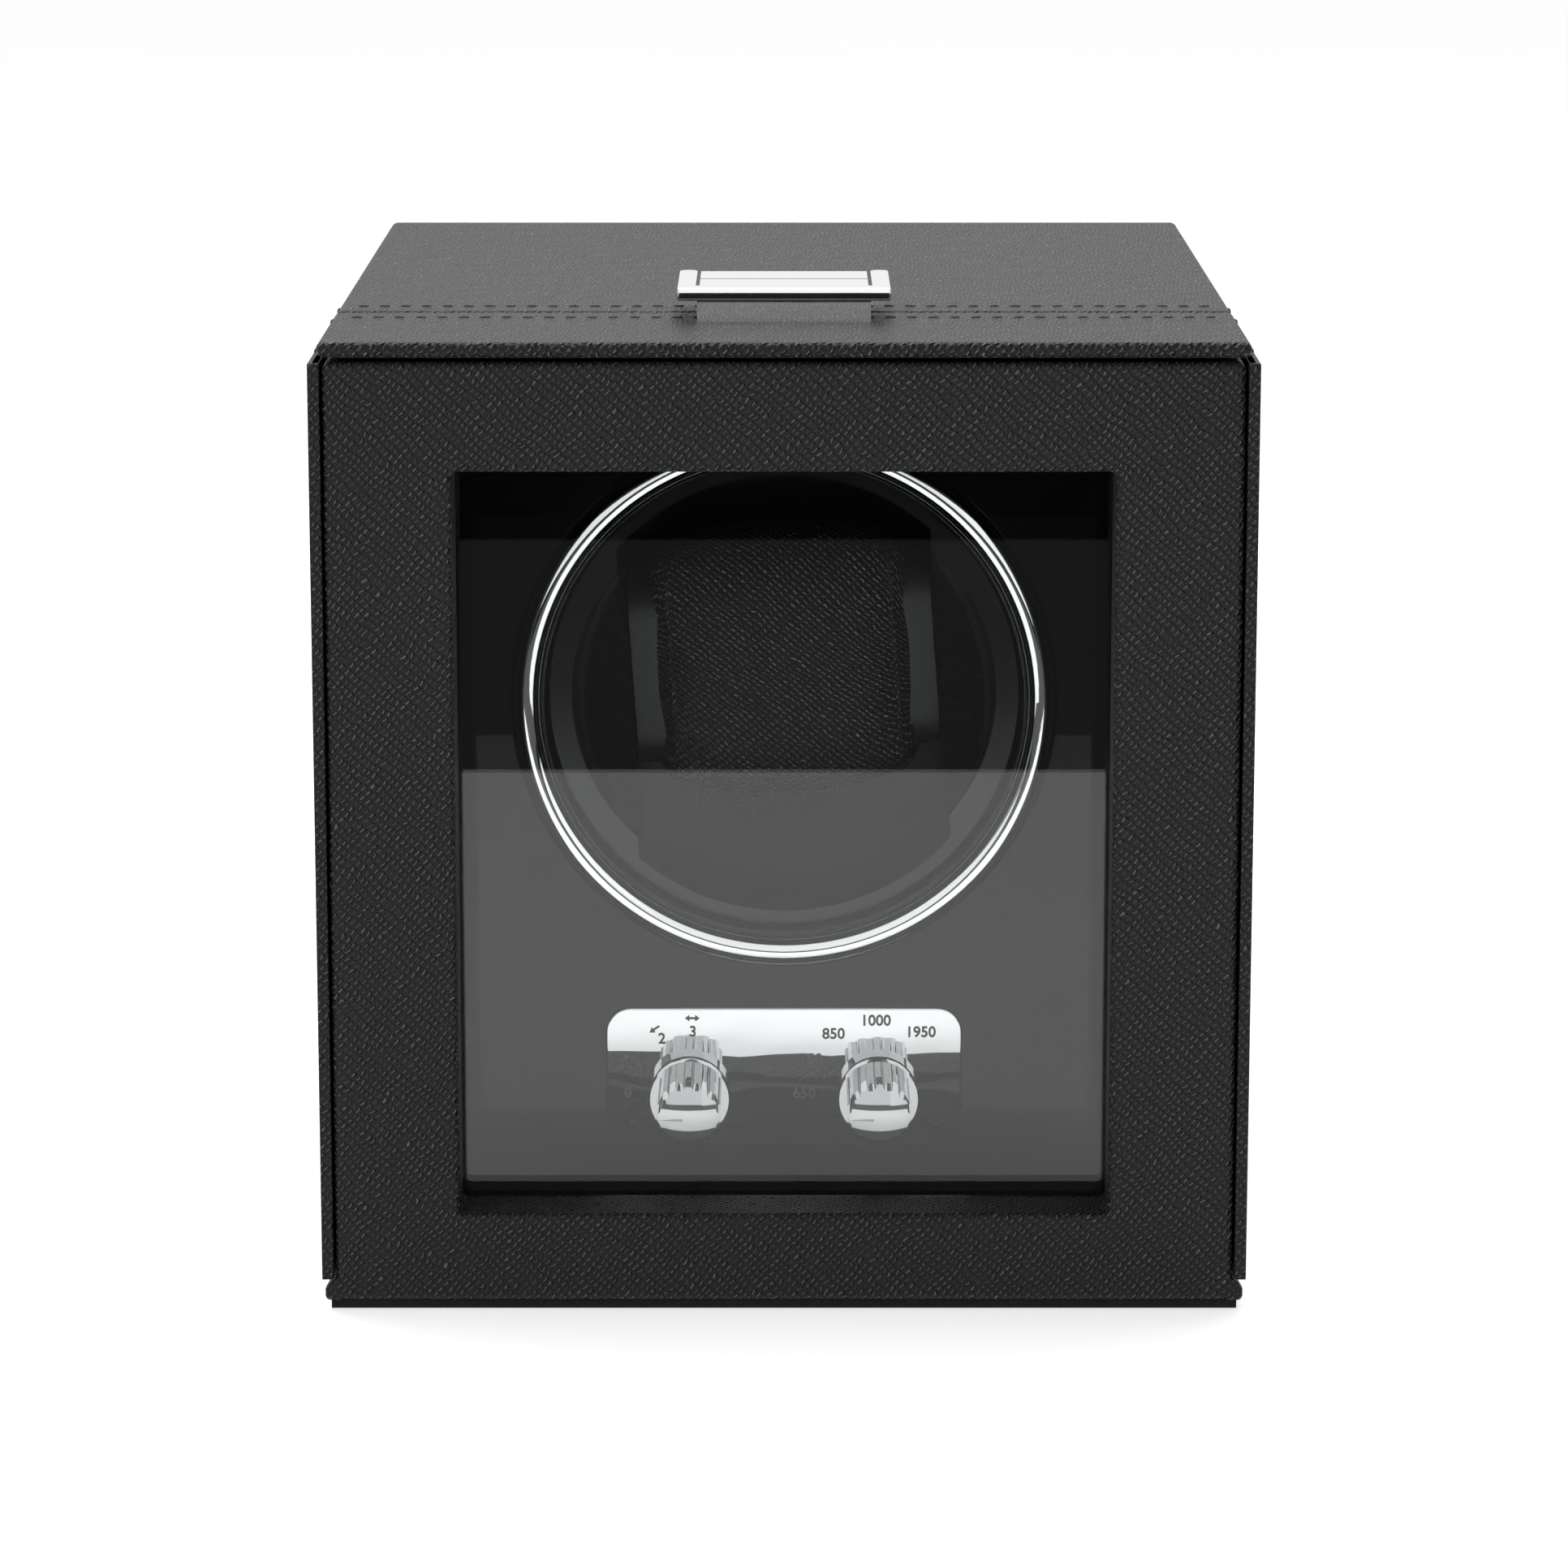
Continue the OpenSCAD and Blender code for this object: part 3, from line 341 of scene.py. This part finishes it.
def box(name, x, y, z, mat):
    outline = [(x[0], y[0]), (x[1], y[0]), (x[1], y[1]), (x[0], y[1])]
    return prism(name, outline, "z", z[0], z[1], mat)


def settle(obj):
    """Applies obj's modifiers."""
    made = bpy.data.meshes.new_from_object(
        obj.evaluated_get(bpy.context.evaluated_depsgraph_get()))
    obj.modifiers.clear()
    obj.data = made
    return obj


def cut(obj, *cutters):
    """Takes the cutters' shapes out of obj, and deletes the cutters."""
    for c in cutters:
        m = obj.modifiers.new("cut", "BOOLEAN")
        m.operation = "DIFFERENCE"
        m.solver = "EXACT"
        m.object = c
    settle(obj)
    for c in cutters:
        bpy.data.objects.remove(c)


def join(name, objs):
    """One object from several, which share one material."""
    bm = bmesh.new()
    for o in objs:
        part = o.data.copy()
        part.transform(o.matrix_world)
        bm.from_mesh(part)
        bpy.data.meshes.remove(part)
    mesh = bpy.data.meshes.new(name)
    bm.to_mesh(mesh)
    bm.free()
    mat = objs[0].data.materials[0]
    for o in objs:
        bpy.data.objects.remove(o)
    return add(name, mesh, mat)


def smooth(obj, angle):
    """Smooth shading that keeps edges over angle degrees sharp."""
    obj.data.shade_smooth()
    obj.data.set_sharp_from_angle(angle=math.radians(angle))
    m = obj.modifiers.new("normals", "WEIGHTED_NORMAL")
    m.keep_sharp = True
    m.weight = 80
    return settle(obj)


def soften(obj, width, segments=4, angle=40.0):
    """Rounds the edges over angle degrees to a width in millimetres."""
    m = obj.modifiers.new("edges", "BEVEL")
    m.width = width * MM
    m.segments = segments
    m.limit_method = "ANGLE"
    m.angle_limit = math.radians(angle)
    m.use_clamp_overlap = True
    settle(obj)
    return smooth(obj, 60.0)


def rounded(x, z, r, steps=6):
    """Points round a rectangle with round corners, the same number for any size."""
    pts = []
    for cx, cz, start in ((x[1] - r, z[1] - r, 0), (x[0] + r, z[1] - r, 90),
                          (x[0] + r, z[0] + r, 180), (x[1] - r, z[0] + r, 270)):
        for i in range(steps + 1):
            a = math.radians(start + 90 * i / steps)
            pts.append((cx + r * math.cos(a), cz + r * math.sin(a)))
    return pts


def loft(name, rings, mat, closed=False, caps=False):
    """A skin through rings of points with equal counts."""
    n = len(rings[0])
    verts = [p for ring in rings for p in ring]
    faces = []
    last = len(rings) if closed else len(rings) - 1
    for r in range(last):
        a, b = r * n, ((r + 1) % len(rings)) * n
        faces += [[a + i, a + (i + 1) % n, b + (i + 1) % n, b + i] for i in range(n)]
    if caps:
        faces += [list(range(n)), list(range(len(verts) - 1, len(verts) - 1 - n, -1))]
    return add(name, mesh_of(name, verts, faces), mat)


def flat_uv(obj, shift=0.0):
    """A UV map in millimetres, laid flat on each face by the way it faces."""
    mesh = obj.data
    uv = mesh.uv_layers.new(name="leather") if not mesh.uv_layers else mesh.uv_layers[0]
    for poly in mesh.polygons:
        n = [abs(c) for c in poly.normal]
        k = n.index(max(n))
        for li in poly.loop_indices:
            co = mesh.vertices[mesh.loops[li].vertex_index].co / MM
            u, v = ((co.y, co.z), (co.x, co.z), (co.x, co.y))[k]
            uv.data[li].uv = (u + shift, v + shift)
    return obj


def piece(obj, body, slot, *nodes):
    """Puts obj on its body, in the place of CAD nodes. The slot argument is not used."""
    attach(obj, body)
    if nodes:
        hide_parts(*nodes)


# ---- door ----

door_lo, door_hi = lo_hi("door_leather")
glass_lo, glass_hi = lo_hi("window_glass")
FRONT = door_lo.y
DOOR_X = 77.6       # half the door's width above its feet
GLASS_HELD = 3      # how far the frame covers the glass's edge
WINDOW_X = glass_hi.x - GLASS_HELD
WINDOW = (glass_lo.z + GLASS_HELD, glass_hi.z - GLASS_HELD)


def make_door():
    """The door's leather: one skin round the frame and its window, and a foot on either side."""
    edge_r, sill_r = 1.3, 1.0
    window_corner, door_corner = 0.8, 1.6
    skin, board_front = 0.8, FRONT + 3
    back = door_hi.y - 0.05
    rings = []

    def inner(grow, y):
        pts = rounded((-WINDOW_X - grow, WINDOW_X + grow),
                      (WINDOW[0] - grow, WINDOW[1] + grow), window_corner + grow)
        rings.append([(p[0], y, p[1]) for p in pts])

    def outer(grow, y):
        pts = rounded((-DOOR_X - grow, DOOR_X + grow),
                      (door_lo.z - grow, door_hi.z + grow), door_corner + grow)
        rings.append([(p[0], y, p[1]) for p in pts])

    # From the glass out over the window's sill, round the outer edge, and back inside the skin
    inner(0, glass_lo.y)
    for i in range(5):
        a = math.radians(90 * i / 4)
        inner(sill_r * (1 - math.cos(a)), FRONT + sill_r * (1 - math.sin(a)))
    for i in range(7):
        a = math.radians(90 * i / 6)
        outer(-edge_r * (1 - math.sin(a)), FRONT + edge_r * (1 - math.cos(a)))
    outer(0, door_hi.y - 0.4)
    outer(-0.3, back)
    outer(-skin, back)
    outer(-skin, board_front)
    inner(skin, board_front)
    inner(skin, glass_lo.y)
    shell = loft("door_shell", rings, FINISH["black_leather"], closed=True)
    parts = [smooth(shell, 60.0)]
    tip, root = door_hi.x, DOOR_X - 1.2
    low, high = door_lo.z, door_lo.z + 3.2
    for s in (-1, 1):
        outline = [(s * root, low), (s * (tip - 0.3), low), (s * tip, low + 0.8),
                   (s * tip, low + 2.0), (s * (tip - 0.7), high), (s * root, high + 1.6)]
        foot = prism("door_foot", outline, "y", FRONT + 0.1, FRONT + 2.95,
                     FINISH["black_leather"])
        parts.append(soften(foot, 0.55, 3))
    return flat_uv(join("door_leather_shell", parts))


piece(make_door(), "cover", "black_leather", "door_leather")


# ---- case ----

def make_case():
    """The leather round the sides and back, with the door's rebate and the inlet's hole cut out."""
    lo, hi = lo_hi("case_leather")
    back_r, skin = 2.2, 2
    rebate = FRONT + 15.4
    door_low, door_high = 5.4, 165.0
    hole_r, hole_points = 8, 48
    corner = [math.radians(15 * i) for i in range(1, 6)]
    outline = [(hi.x, lo.y), (hi.x, hi.y - back_r)]
    outline += [(hi.x - back_r * (1 - math.cos(a)), hi.y - back_r * (1 - math.sin(a)))
                for a in corner]
    outline += [(hi.x - back_r, hi.y), (-hi.x + back_r, hi.y)]
    outline += [(-hi.x + back_r * (1 - math.cos(a)), hi.y - back_r * (1 - math.sin(a)))
                for a in reversed(corner)]
    outline += [(-hi.x, hi.y - back_r), (-hi.x, lo.y), (-hi.x + skin, lo.y),
                (-hi.x + skin, hi.y - skin), (hi.x - skin, hi.y - skin), (hi.x - skin, lo.y)]
    mat = FINISH["black_leather"]
    wrap = prism("case_leather_wrap", outline, "z", lo.z, hi.z, mat)
    low = box("cut_low", (-90, 90), (lo.y - 1, rebate), (0, door_low), mat)
    high = box("cut_high", (-90, 90), (lo.y - 1, rebate), (door_high, 170), mat)
    hole_lo, hole_hi = lo_hi("power_inlet")
    cx, cz = (hole_lo.x + hole_hi.x) / 2, (hole_lo.z + hole_hi.z) / 2
    angles = [math.radians(360 / hole_points * i) for i in range(hole_points)]
    circle = [(cx + hole_r * math.cos(a), cz + hole_r * math.sin(a)) for a in angles]
    hole = prism("cut_hole", circle, "y", hi.y - 4, hi.y + 1, mat)
    cut(wrap, low, high, hole)
    soften(wrap, 0.85, 4, 50.0)
    return flat_uv(wrap, 3.7)


piece(make_case(), "case", "black_leather", "case_leather")


# ---- top ----

def make_top(name, node, edge_r, uv_shift):
    """A leather-covered slab of the top with rounded edges."""
    lo, hi = lo_hi(node)
    slab = box(name, (lo.x, hi.x), (lo.y, hi.y), (lo.z, hi.z), FINISH["black_leather"])
    soften(slab, edge_r, 5)
    return flat_uv(slab, uv_shift)


strip_top = make_top("strip_top", "strip_leather", 1.15, 1.3)
piece(strip_top, "cover", "black_leather", "strip_leather")
rear_top = make_top("rear_top", "rear_top_leather", 1.3, 8.1)
piece(rear_top, "case", "black_leather", "rear_top_leather")


def make_stitches(name, y, x_half, top, edge_low):
    """A row of thread dashes across the top that also goes down over both side edges."""
    bm = bmesh.new()
    pitch, length, thick = 3.7, 2.3, 0.26
    steps, around = 8, 8
    flatness, end_sink, end_size = 1.25, 0.22, 0.15

    def dash(centre, along, up, size):
        side = along.cross(up).normalized()
        loops = []
        for i in range(steps + 1):
            t = i / steps * 2 - 1
            bulge = math.sqrt(max(0.0, 1 - abs(t) ** 3))
            sink = -end_sink * abs(t) ** 4
            loop = []
            for k in range(around):
                a = 2 * math.pi * k / around
                off = side * math.cos(a) * flatness + up * math.sin(a)
                loop.append(bm.verts.new((centre + along * t * size / 2 + up * sink
                                          + off * thick * max(bulge, end_size)) * MM))
            loops.append(loop)
        for a, b in zip(loops, loops[1:]):
            for k in range(around):
                bm.faces.new((a[k], a[(k + 1) % around], b[(k + 1) % around], b[k]))
        bm.faces.new(loops[0][::-1])
        bm.faces.new(loops[-1])

    count = int(2 * (x_half - 1.6) / pitch)
    start = -pitch * (count - 1) / 2
    for i in range(count):
        x = start + i * pitch
        lean = Vector((1, random.uniform(-0.06, 0.06), 0)).normalized()
        dash(Vector((x, y + random.uniform(-0.08, 0.08), top + 0.02)), lean, Vector((0, 0, 1)),
             length * random.uniform(0.92, 1.06))
    for s in (-1, 1):
        dash(Vector((s * (x_half - 0.02), y, (top + edge_low) / 2)), Vector((0, 0, 1)),
             Vector((s, 0, 0)), top - edge_low - 0.5)
    mesh = bpy.data.meshes.new(name)
    bmesh.ops.recalc_face_normals(bm, faces=bm.faces)
    bm.to_mesh(mesh)
    bm.free()
    row = add(name, mesh, thread)
    return smooth(row, 60.0)


SEAM_Y = 7.8        # from the joint between the two tops to each row
strip_lo, strip_hi = lo_hi("strip_leather")
rear_lo, rear_hi = lo_hi("rear_top_leather")
piece(make_stitches("strip_stitches", strip_hi.y - SEAM_Y, strip_hi.x, strip_hi.z, strip_lo.z),
      "cover", "black_leather")
piece(make_stitches("rear_stitches", rear_lo.y + SEAM_Y, rear_hi.x, rear_hi.z, rear_hi.z - 2.6),
      "case", "black_leather")


# ---- latch ----

def make_latch_frame():
    """The latch's U-shaped casting, whose arms have round ends."""
    lo, hi = lo_hi("latch_frame")
    arm, bar, r = 3.2, 4.5, 1.3
    arc = [math.radians(18 * i) for i in range(1, 10)]
    outline = [(lo.x, lo.y), (hi.x, lo.y), (hi.x, hi.y - r)]
    outline += [(hi.x - arm / 2 + arm / 2 * math.cos(a), hi.y - r + r * math.sin(a)) for a in arc]
    outline += [(hi.x - arm, hi.y - r), (hi.x - arm, lo.y + bar), (lo.x + arm, lo.y + bar),
                (lo.x + arm, hi.y - r)]
    outline += [(lo.x + arm / 2 + arm / 2 * math.cos(a), hi.y - r + r * math.sin(a)) for a in arc]
    outline += [(lo.x, hi.y - r)]
    body = prism("latch_frame_cast", outline, "z", lo.z, hi.z, FINISH["chrome"])
    return soften(body, 0.3, 3, 30.0)


piece(make_latch_frame(), "cover", "chrome", "latch_frame")


# ---- control plate ----

plate_lo, plate_hi = lo_hi("control_plate")
KNOB_X = [(lo_hi(n)[0].x + lo_hi(n)[1].x) / 2 for n in ("direction_shaft", "turns_shaft")]
KNOB_Z = (lo_hi("turns_shaft")[0].z + lo_hi("turns_shaft")[1].z) / 2
BEND_Z = 39.2       # the height above which the plate mirrors the bright part of the studio
plate_finish = plate_chrome("plate_chrome", BEND_Z * MM)


def make_plate():
    """The control plate: a rim with a rolled edge round a slightly domed face."""
    corner, dome, edge = 4.5, 0.2, 0.45
    corner_steps, steps, dome_power = 8, 14, 2.4
    rings = []
    for inset, y in [(0, plate_hi.y), (0, plate_lo.y + dome + edge)] + [
            (edge * (1 - math.cos(a)), plate_lo.y + dome + edge * (1 - math.sin(a)))
            for a in (math.radians(15 * i) for i in range(1, 7))]:
        pts = rounded((plate_lo.x + inset, plate_hi.x - inset),
                      (plate_lo.z + inset, plate_hi.z - inset), corner - inset, corner_steps)
        rings.append([(p[0], y, p[1]) for p in pts])
    rim = loft("plate_rim", rings, plate_finish)
    half_x = (plate_hi.x - plate_lo.x) / 2 - edge
    half_z = (plate_hi.z - plate_lo.z) / 2 - edge
    mid_z = (plate_hi.z + plate_lo.z) / 2
    base = rounded((-half_x, half_x), (-half_z, half_z), corner - edge, corner_steps)
    verts = [(0, plate_lo.y, mid_z)]
    for k in range(1, steps + 1):
        t = k / steps
        for p in base:
            verts.append((p[0] * t, plate_lo.y + dome * t ** dome_power, mid_z + p[1] * t))
    n = len(base)
    faces = [[0, 1 + i, 1 + (i + 1) % n] for i in range(n)]
    for k in range(steps - 1):
        a, b = 1 + k * n, 1 + (k + 1) * n
        faces += [[a + i, a + (i + 1) % n, b + (i + 1) % n, b + i] for i in range(n)]
    face = add("plate_face", mesh_of("plate_face", verts, faces), plate_finish)
    whole = join("control_plate_cover", [rim, face])
    bm = bmesh.new()
    bm.from_mesh(whole.data)
    bmesh.ops.remove_doubles(bm, verts=bm.verts, dist=0.01 * MM)
    bmesh.ops.recalc_face_normals(bm, faces=bm.faces)
    bm.to_mesh(whole.data)
    bm.free()
    return smooth(whole, 50.0)


piece(make_plate(), "case", "chrome", "control_plate")


def label(text, x, z):
    """A thin printed number on the plate."""
    size, thick, bold = 2.7, 0.02, 0.06
    curve = bpy.data.curves.new("mark", "FONT")
    curve.body = text
    curve.size = size * MM
    curve.align_x = "CENTER"
    curve.align_y = "CENTER"
    curve.extrude = thick * MM
    curve.offset = bold * MM
    obj = bpy.data.objects.new("mark", curve)
    scene.collection.objects.link(obj)
    obj.rotation_euler = (math.radians(90), 0, 0)
    obj.location = Vector((x, plate_lo.y + 0.02, z)) * MM
    bpy.context.view_layer.update()
    mesh = bpy.data.meshes.new_from_object(
        obj.evaluated_get(bpy.context.evaluated_depsgraph_get()))
    mesh.transform(obj.matrix_world)
    bpy.data.objects.remove(obj)
    return add("mark", mesh, ink)


def arrow(x, z, turn, double=False):
    """A small arrow beside a direction number."""
    shape = [(-1.0, -0.18), (0.2, -0.18), (0.2, -0.6), (1.1, 0), (0.2, 0.6), (0.2, 0.18),
             (-1.0, 0.18)]
    if double:
        shape = [(-1.3, 0), (-0.5, -0.6), (-0.5, -0.18), (0.5, -0.18), (0.5, -0.6), (1.3, 0),
                 (0.5, 0.6), (0.5, 0.18), (-0.5, 0.18), (-0.5, 0.6)]
    c, s = math.cos(math.radians(turn)), math.sin(math.radians(turn))
    pts = [(x + p[0] * c - p[1] * s, z + p[0] * s + p[1] * c) for p in shape]
    return prism("mark", pts, "y", plate_lo.y - 0.01, plate_lo.y + 0.1, ink)


def scale_marks():
    """Turns a day at the right knob, and four direction settings with arrows at the left one."""
    marks = [label(text, KNOB_X[1] + x, KNOB_Z + z) for text, x, z in (
        ("650", -13.2, 0.4), ("750", -12.0, 6.7), ("850", -8.0, 11.3), ("1000", -0.5, 13.7),
        ("1950", 7.5, 11.6))]
    marks += [label(text, KNOB_X[0] + x, KNOB_Z + z) for text, x, z in (
        ("0", -11.0, 0.4), ("1", -9.2, 6.4), ("2", -4.9, 10.4), ("3", 0.6, 11.7))]
    marks.append(arrow(KNOB_X[0] - 11.6, KNOB_Z + 6.8, 35))
    marks.append(arrow(KNOB_X[0] - 6.2, KNOB_Z + 12.2, 215))
    marks.append(arrow(KNOB_X[0] + 0.5, KNOB_Z + 14.2, 0, True))
    return join("scale_marks", marks)


piece(scale_marks(), "case", "switch_plastic")


# ---- cushion ----

def make_cushion():
    """A padded leather sleeve round the core, blown out a little by a cloth simulation."""
    lo, hi = lo_hi("cushion_cover")
    turn = Matrix.Rotation(math.radians(-4), 4, "Y")
    centre = Vector((0, (lo.y + hi.y) / 2, 101))
    half = Vector((24.6, 17.6, 24.6))
    room = (24.8, 19.8, 26.8)       # half the space the drum leaves it
    squareness, end_pull = 2 / 3.0, 0.13
    voxel, pressure, frames, cap = 4, 250.0, 20, 1.8
    uv_radius, seam_x = 24.0, 20.2
    steps, around = 20, 56
    rings = []
    for i in range(steps + 1):
        t = -1 + 2 * i / steps
        pull = 1 - end_pull * abs(t) ** 3.5
        ring = []
        for k in range(around):
            a = 2 * math.pi * k / around
            c, s = math.cos(a), math.sin(a)
            y = math.copysign(abs(c) ** squareness, c) * half.y * pull
            z = math.copysign(abs(s) ** squareness, s) * half.z * pull
            ring.append((t * half.x, y, z))
        rings.append(ring)
    pad = loft("cushion_pad", rings, FINISH["cushion_leather"], caps=True)
    m = pad.modifiers.new("voxels", "REMESH")
    m.mode = "VOXEL"
    m.voxel_size = voxel * MM
    settle(pad)
    rest = [v.co.copy() for v in pad.data.vertices]
    m = pad.modifiers.new("cloth", "CLOTH")
    m.settings.use_pressure = True
    m.settings.uniform_pressure_force = pressure
    m.settings.effector_weights.gravity = 0
    m.settings.quality = 6
    for f in range(1, frames + 1):
        scene.frame_set(f)
    settle(pad)
    limit = cap * MM
    for v, r in zip(pad.data.vertices, rest):
        move = v.co - r
        if move.length > limit:
            v.co = r + move * (limit / move.length)
    scene.frame_set(1)
    m = pad.modifiers.new("fine", "SUBSURF")
    m.levels = 2
    settle(pad)
    size = [max(abs(v.co[k]) for v in pad.data.vertices) / MM for k in range(3)]
    fit = Matrix.Diagonal([min(1.0, r / s) for r, s in zip(room, size)] + [1])
    pad.data.transform(fit)
    uv = pad.data.uv_layers.new(name="leather")
    for poly in pad.data.polygons:
        middle = math.atan2(poly.center.z, poly.center.y)
        for li in poly.loop_indices:
            co = pad.data.vertices[pad.data.loops[li].vertex_index].co
            a = math.atan2(co.z, co.y)
            a += 2 * math.pi * round((middle - a) / (2 * math.pi))
            uv.data[li].uv = (co.x / MM, a * uv_radius)
    seams = [seam(pad, s * seam_x * MM) for s in (-1, 1)]
    smooth(pad, 180.0)
    place = Matrix.Translation(centre * MM) @ turn
    for o in [pad, *seams]:
        o.data.transform(place)
    return pad, seams


def seam(pad, x):
    """A thin welt where a plane across the pad meets its skin."""
    bm = bmesh.new()
    bm.from_mesh(pad.data)
    got = bmesh.ops.bisect_plane(bm, geom=bm.verts[:] + bm.edges[:] + bm.faces[:],
                                 plane_co=(x, 0, 0), plane_no=(1, 0, 0))
    pts = [v.co.copy() for v in got["geom_cut"] if isinstance(v, bmesh.types.BMVert)]
    bm.free()
    pts.sort(key=lambda p: math.atan2(p.z, p.y))
    count, tube, radius = 120, 8, 0.42 * MM
    line = [pts[int(i * len(pts) / count)] for i in range(count)]
    angles = [2 * math.pi * k / tube for k in range(tube)]
    across = Vector((1, 0, 0))
    rings = []
    for i, p in enumerate(line):
        tangent = (line[(i + 1) % count] - line[i - 1]).normalized()
        out = tangent.cross(across).normalized()
        rings.append([(p + radius * (math.cos(b) * out + math.sin(b) * across)) / MM
                      for b in angles])
    welt = loft("cushion_welt", rings, FINISH["cushion_leather"], closed=True)
    smooth(welt, 80.0)
    return flat_uv(welt)


def make_spring():
    """The coil under the tongue."""
    lo, hi = lo_hi("latch_spring")
    wire, turns, steps, tube = 0.3, 3, 28, 10
    middle = (lo + hi) / 2
    coil_r = (hi.x - lo.x) / 2 - wire
    low, high = lo.z + wire, hi.z - wire
    angles = [2 * math.pi * k / tube for k in range(tube)]
    rings = []
    for i in range(turns * steps + 1):
        a = 2 * math.pi * i / steps
        out = Vector((math.cos(a), math.sin(a), 0))
        z = low + (high - low) * i / (turns * steps)
        centre = Vector((middle.x, middle.y, z)) + out * coil_r
        rings.append([centre + wire * (math.cos(b) * out + math.sin(b) * Vector((0, 0, 1)))
                      for b in angles])
    coil = loft("latch_spring_coil", rings, FINISH["steel"], caps=True)
    return smooth(coil, 60.0), Vector((middle.x, middle.y, lo.z)) * MM


latch_coil, coil_foot = make_spring()
piece(latch_coil, "cover", "steel", "latch_spring")
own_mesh(latch_coil)

cushion_pad, cushion_seams = make_cushion()
piece(cushion_pad, "cushion", "cushion_leather", "cushion_cover")
cushion_welts = join("cushion_welts", cushion_seams)
piece(cushion_welts, "cushion", "cushion_leather")


# ---- camera, floor and light ----

camera_data = bpy.data.cameras.new("view")
camera_data.sensor_width = 36
camera_data.lens = 130.8
camera = bpy.data.objects.new("view", camera_data)
camera.location = (0, -1.0448, 0.2896)
camera.rotation_euler = (math.radians(78.3), 0, 0)
scene.collection.objects.link(camera)
scene.camera = camera


def glow(name, strength):
    """White light given off evenly."""
    g = Graph(name)
    e = g.node("Emission", None, Color=(1, 1, 1, 1), Strength=strength)
    return g.finish(e)


def card(name, corners, mat):
    """A flat studio card."""
    mesh = bpy.data.meshes.new(name)
    mesh.from_pydata(corners, [], [[0, 1, 2, 3]])
    obj = add(name, mesh, mat)
    return obj


def mirrored_card(name, corners, strength):
    """A glowing card that only shows in reflections."""
    obj = card(name, corners, glow(name, strength))
    obj.visible_camera = False
    obj.visible_shadow = False
    obj.visible_diffuse = False


def studio_floor(name):
    """White seamless floor. Light of its own keeps it pale right up to the contact shadow."""
    own_light = 0.68
    g = Graph(name)
    place = g.node("TexCoord").outputs["Object"]
    tone = g.noise(place, 6.0, 3.0).outputs["Fac"]
    white = g.node("BsdfDiffuse", None, Color=g.mix(tone, grey(0.68), grey(0.71)))
    own = g.node("Emission", None, Color=(1, 1, 1, 1), Strength=own_light)
    both = g.node("AddShader")
    g.put(both.inputs[0], white.outputs[0])
    g.put(both.inputs[1], own.outputs[0])
    return g.finish(both)


def level(half_width, back, front, z):
    """The corners of a level card."""
    return [(-half_width, front, z), (half_width, front, z), (half_width, back, z),
            (-half_width, back, z)]


FLOOR_Z, CARD_Z = -0.0001, 0.0004
card("floor", level(4, 6, -4, FLOOR_Z), studio_floor("floor"))
# Two darker stretches of floor in front, as the chrome mirrors it
mirrored_card("dim_floor", level(3, -0.536, -0.90, CARD_Z), 0.12)
mirrored_card("dark_floor", level(3, -0.90, -3.0, CARD_Z), 0.012)
# Soft boxes: one high in front, one low at the right, one at the left
mirrored_card("box_high", [(-0.5, -0.95, 0.085), (0.5, -0.95, 0.085), (0.4, -0.35, 0.95),
                           (-0.4, -0.35, 0.95)], 1.1)
mirrored_card("box_right", [(0.2, -0.8, 0.06), (0.6, -0.6, 0.06), (0.6, -0.6, 0.5),
                            (0.2, -0.8, 0.5)], 1.3)
mirrored_card("box_left", [(-0.9, -0.3, 0.0), (-0.62, -1.0, 0.0), (-0.62, -1.0, 0.9),
                           (-0.9, -0.3, 0.9)], 0.3)


def lamp(name, where, aim, size, power):
    """A rectangular area light that points at aim."""
    data = bpy.data.lights.new(name, "AREA")
    data.shape = "RECTANGLE"
    data.size, data.size_y = size
    data.energy = power
    obj = bpy.data.objects.new(name, data)
    obj.location = where
    way = Vector(aim) - Vector(where)
    obj.rotation_euler = way.to_track_quat("-Z", "Y").to_euler()
    scene.collection.objects.link(obj)


lamp("overhead", (-0.1, 0.3, 1.3), (0, 0, 0.1), (1.2, 0.8), 16)
lamp("left_front", (-0.85, -0.8, 0.95), (0, -0.09, 0.1), (0.6, 0.6), 4)


def studio_world():
    """White behind the object and dark in front of it. The camera sees plain white."""
    white, dark = 0.95, 0.05
    world = bpy.data.worlds.new("studio")
    world.use_nodes = True
    nt = world.node_tree
    back = nt.nodes["Background"]
    place = nt.nodes.new("ShaderNodeTexCoord")
    axes = nt.nodes.new("ShaderNodeSeparateXYZ")
    nt.links.new(place.outputs["Generated"], axes.inputs[0])
    ramp = nt.nodes.new("ShaderNodeMapRange")
    ramp.interpolation_type = "SMOOTHSTEP"
    nt.links.new(axes.outputs["Y"], ramp.inputs["Value"])
    for key, value in (("From Min", -0.25), ("From Max", 0.55), ("To Min", dark),
                       ("To Max", white)):
        ramp.inputs[key].default_value = value
    path = nt.nodes.new("ShaderNodeLightPath")
    pick = nt.nodes.new("ShaderNodeMix")
    pick.data_type = "FLOAT"
    nt.links.new(path.outputs["Is Camera Ray"], pick.inputs[0])
    nt.links.new(ramp.outputs[0], pick.inputs[2])
    pick.inputs[3].default_value = white
    nt.links.new(pick.outputs[0], back.inputs["Strength"])
    back.inputs["Color"].default_value = (1, 1, 1, 1)
    return world


scene.world = studio_world()
scene.view_settings.view_transform = "Standard"
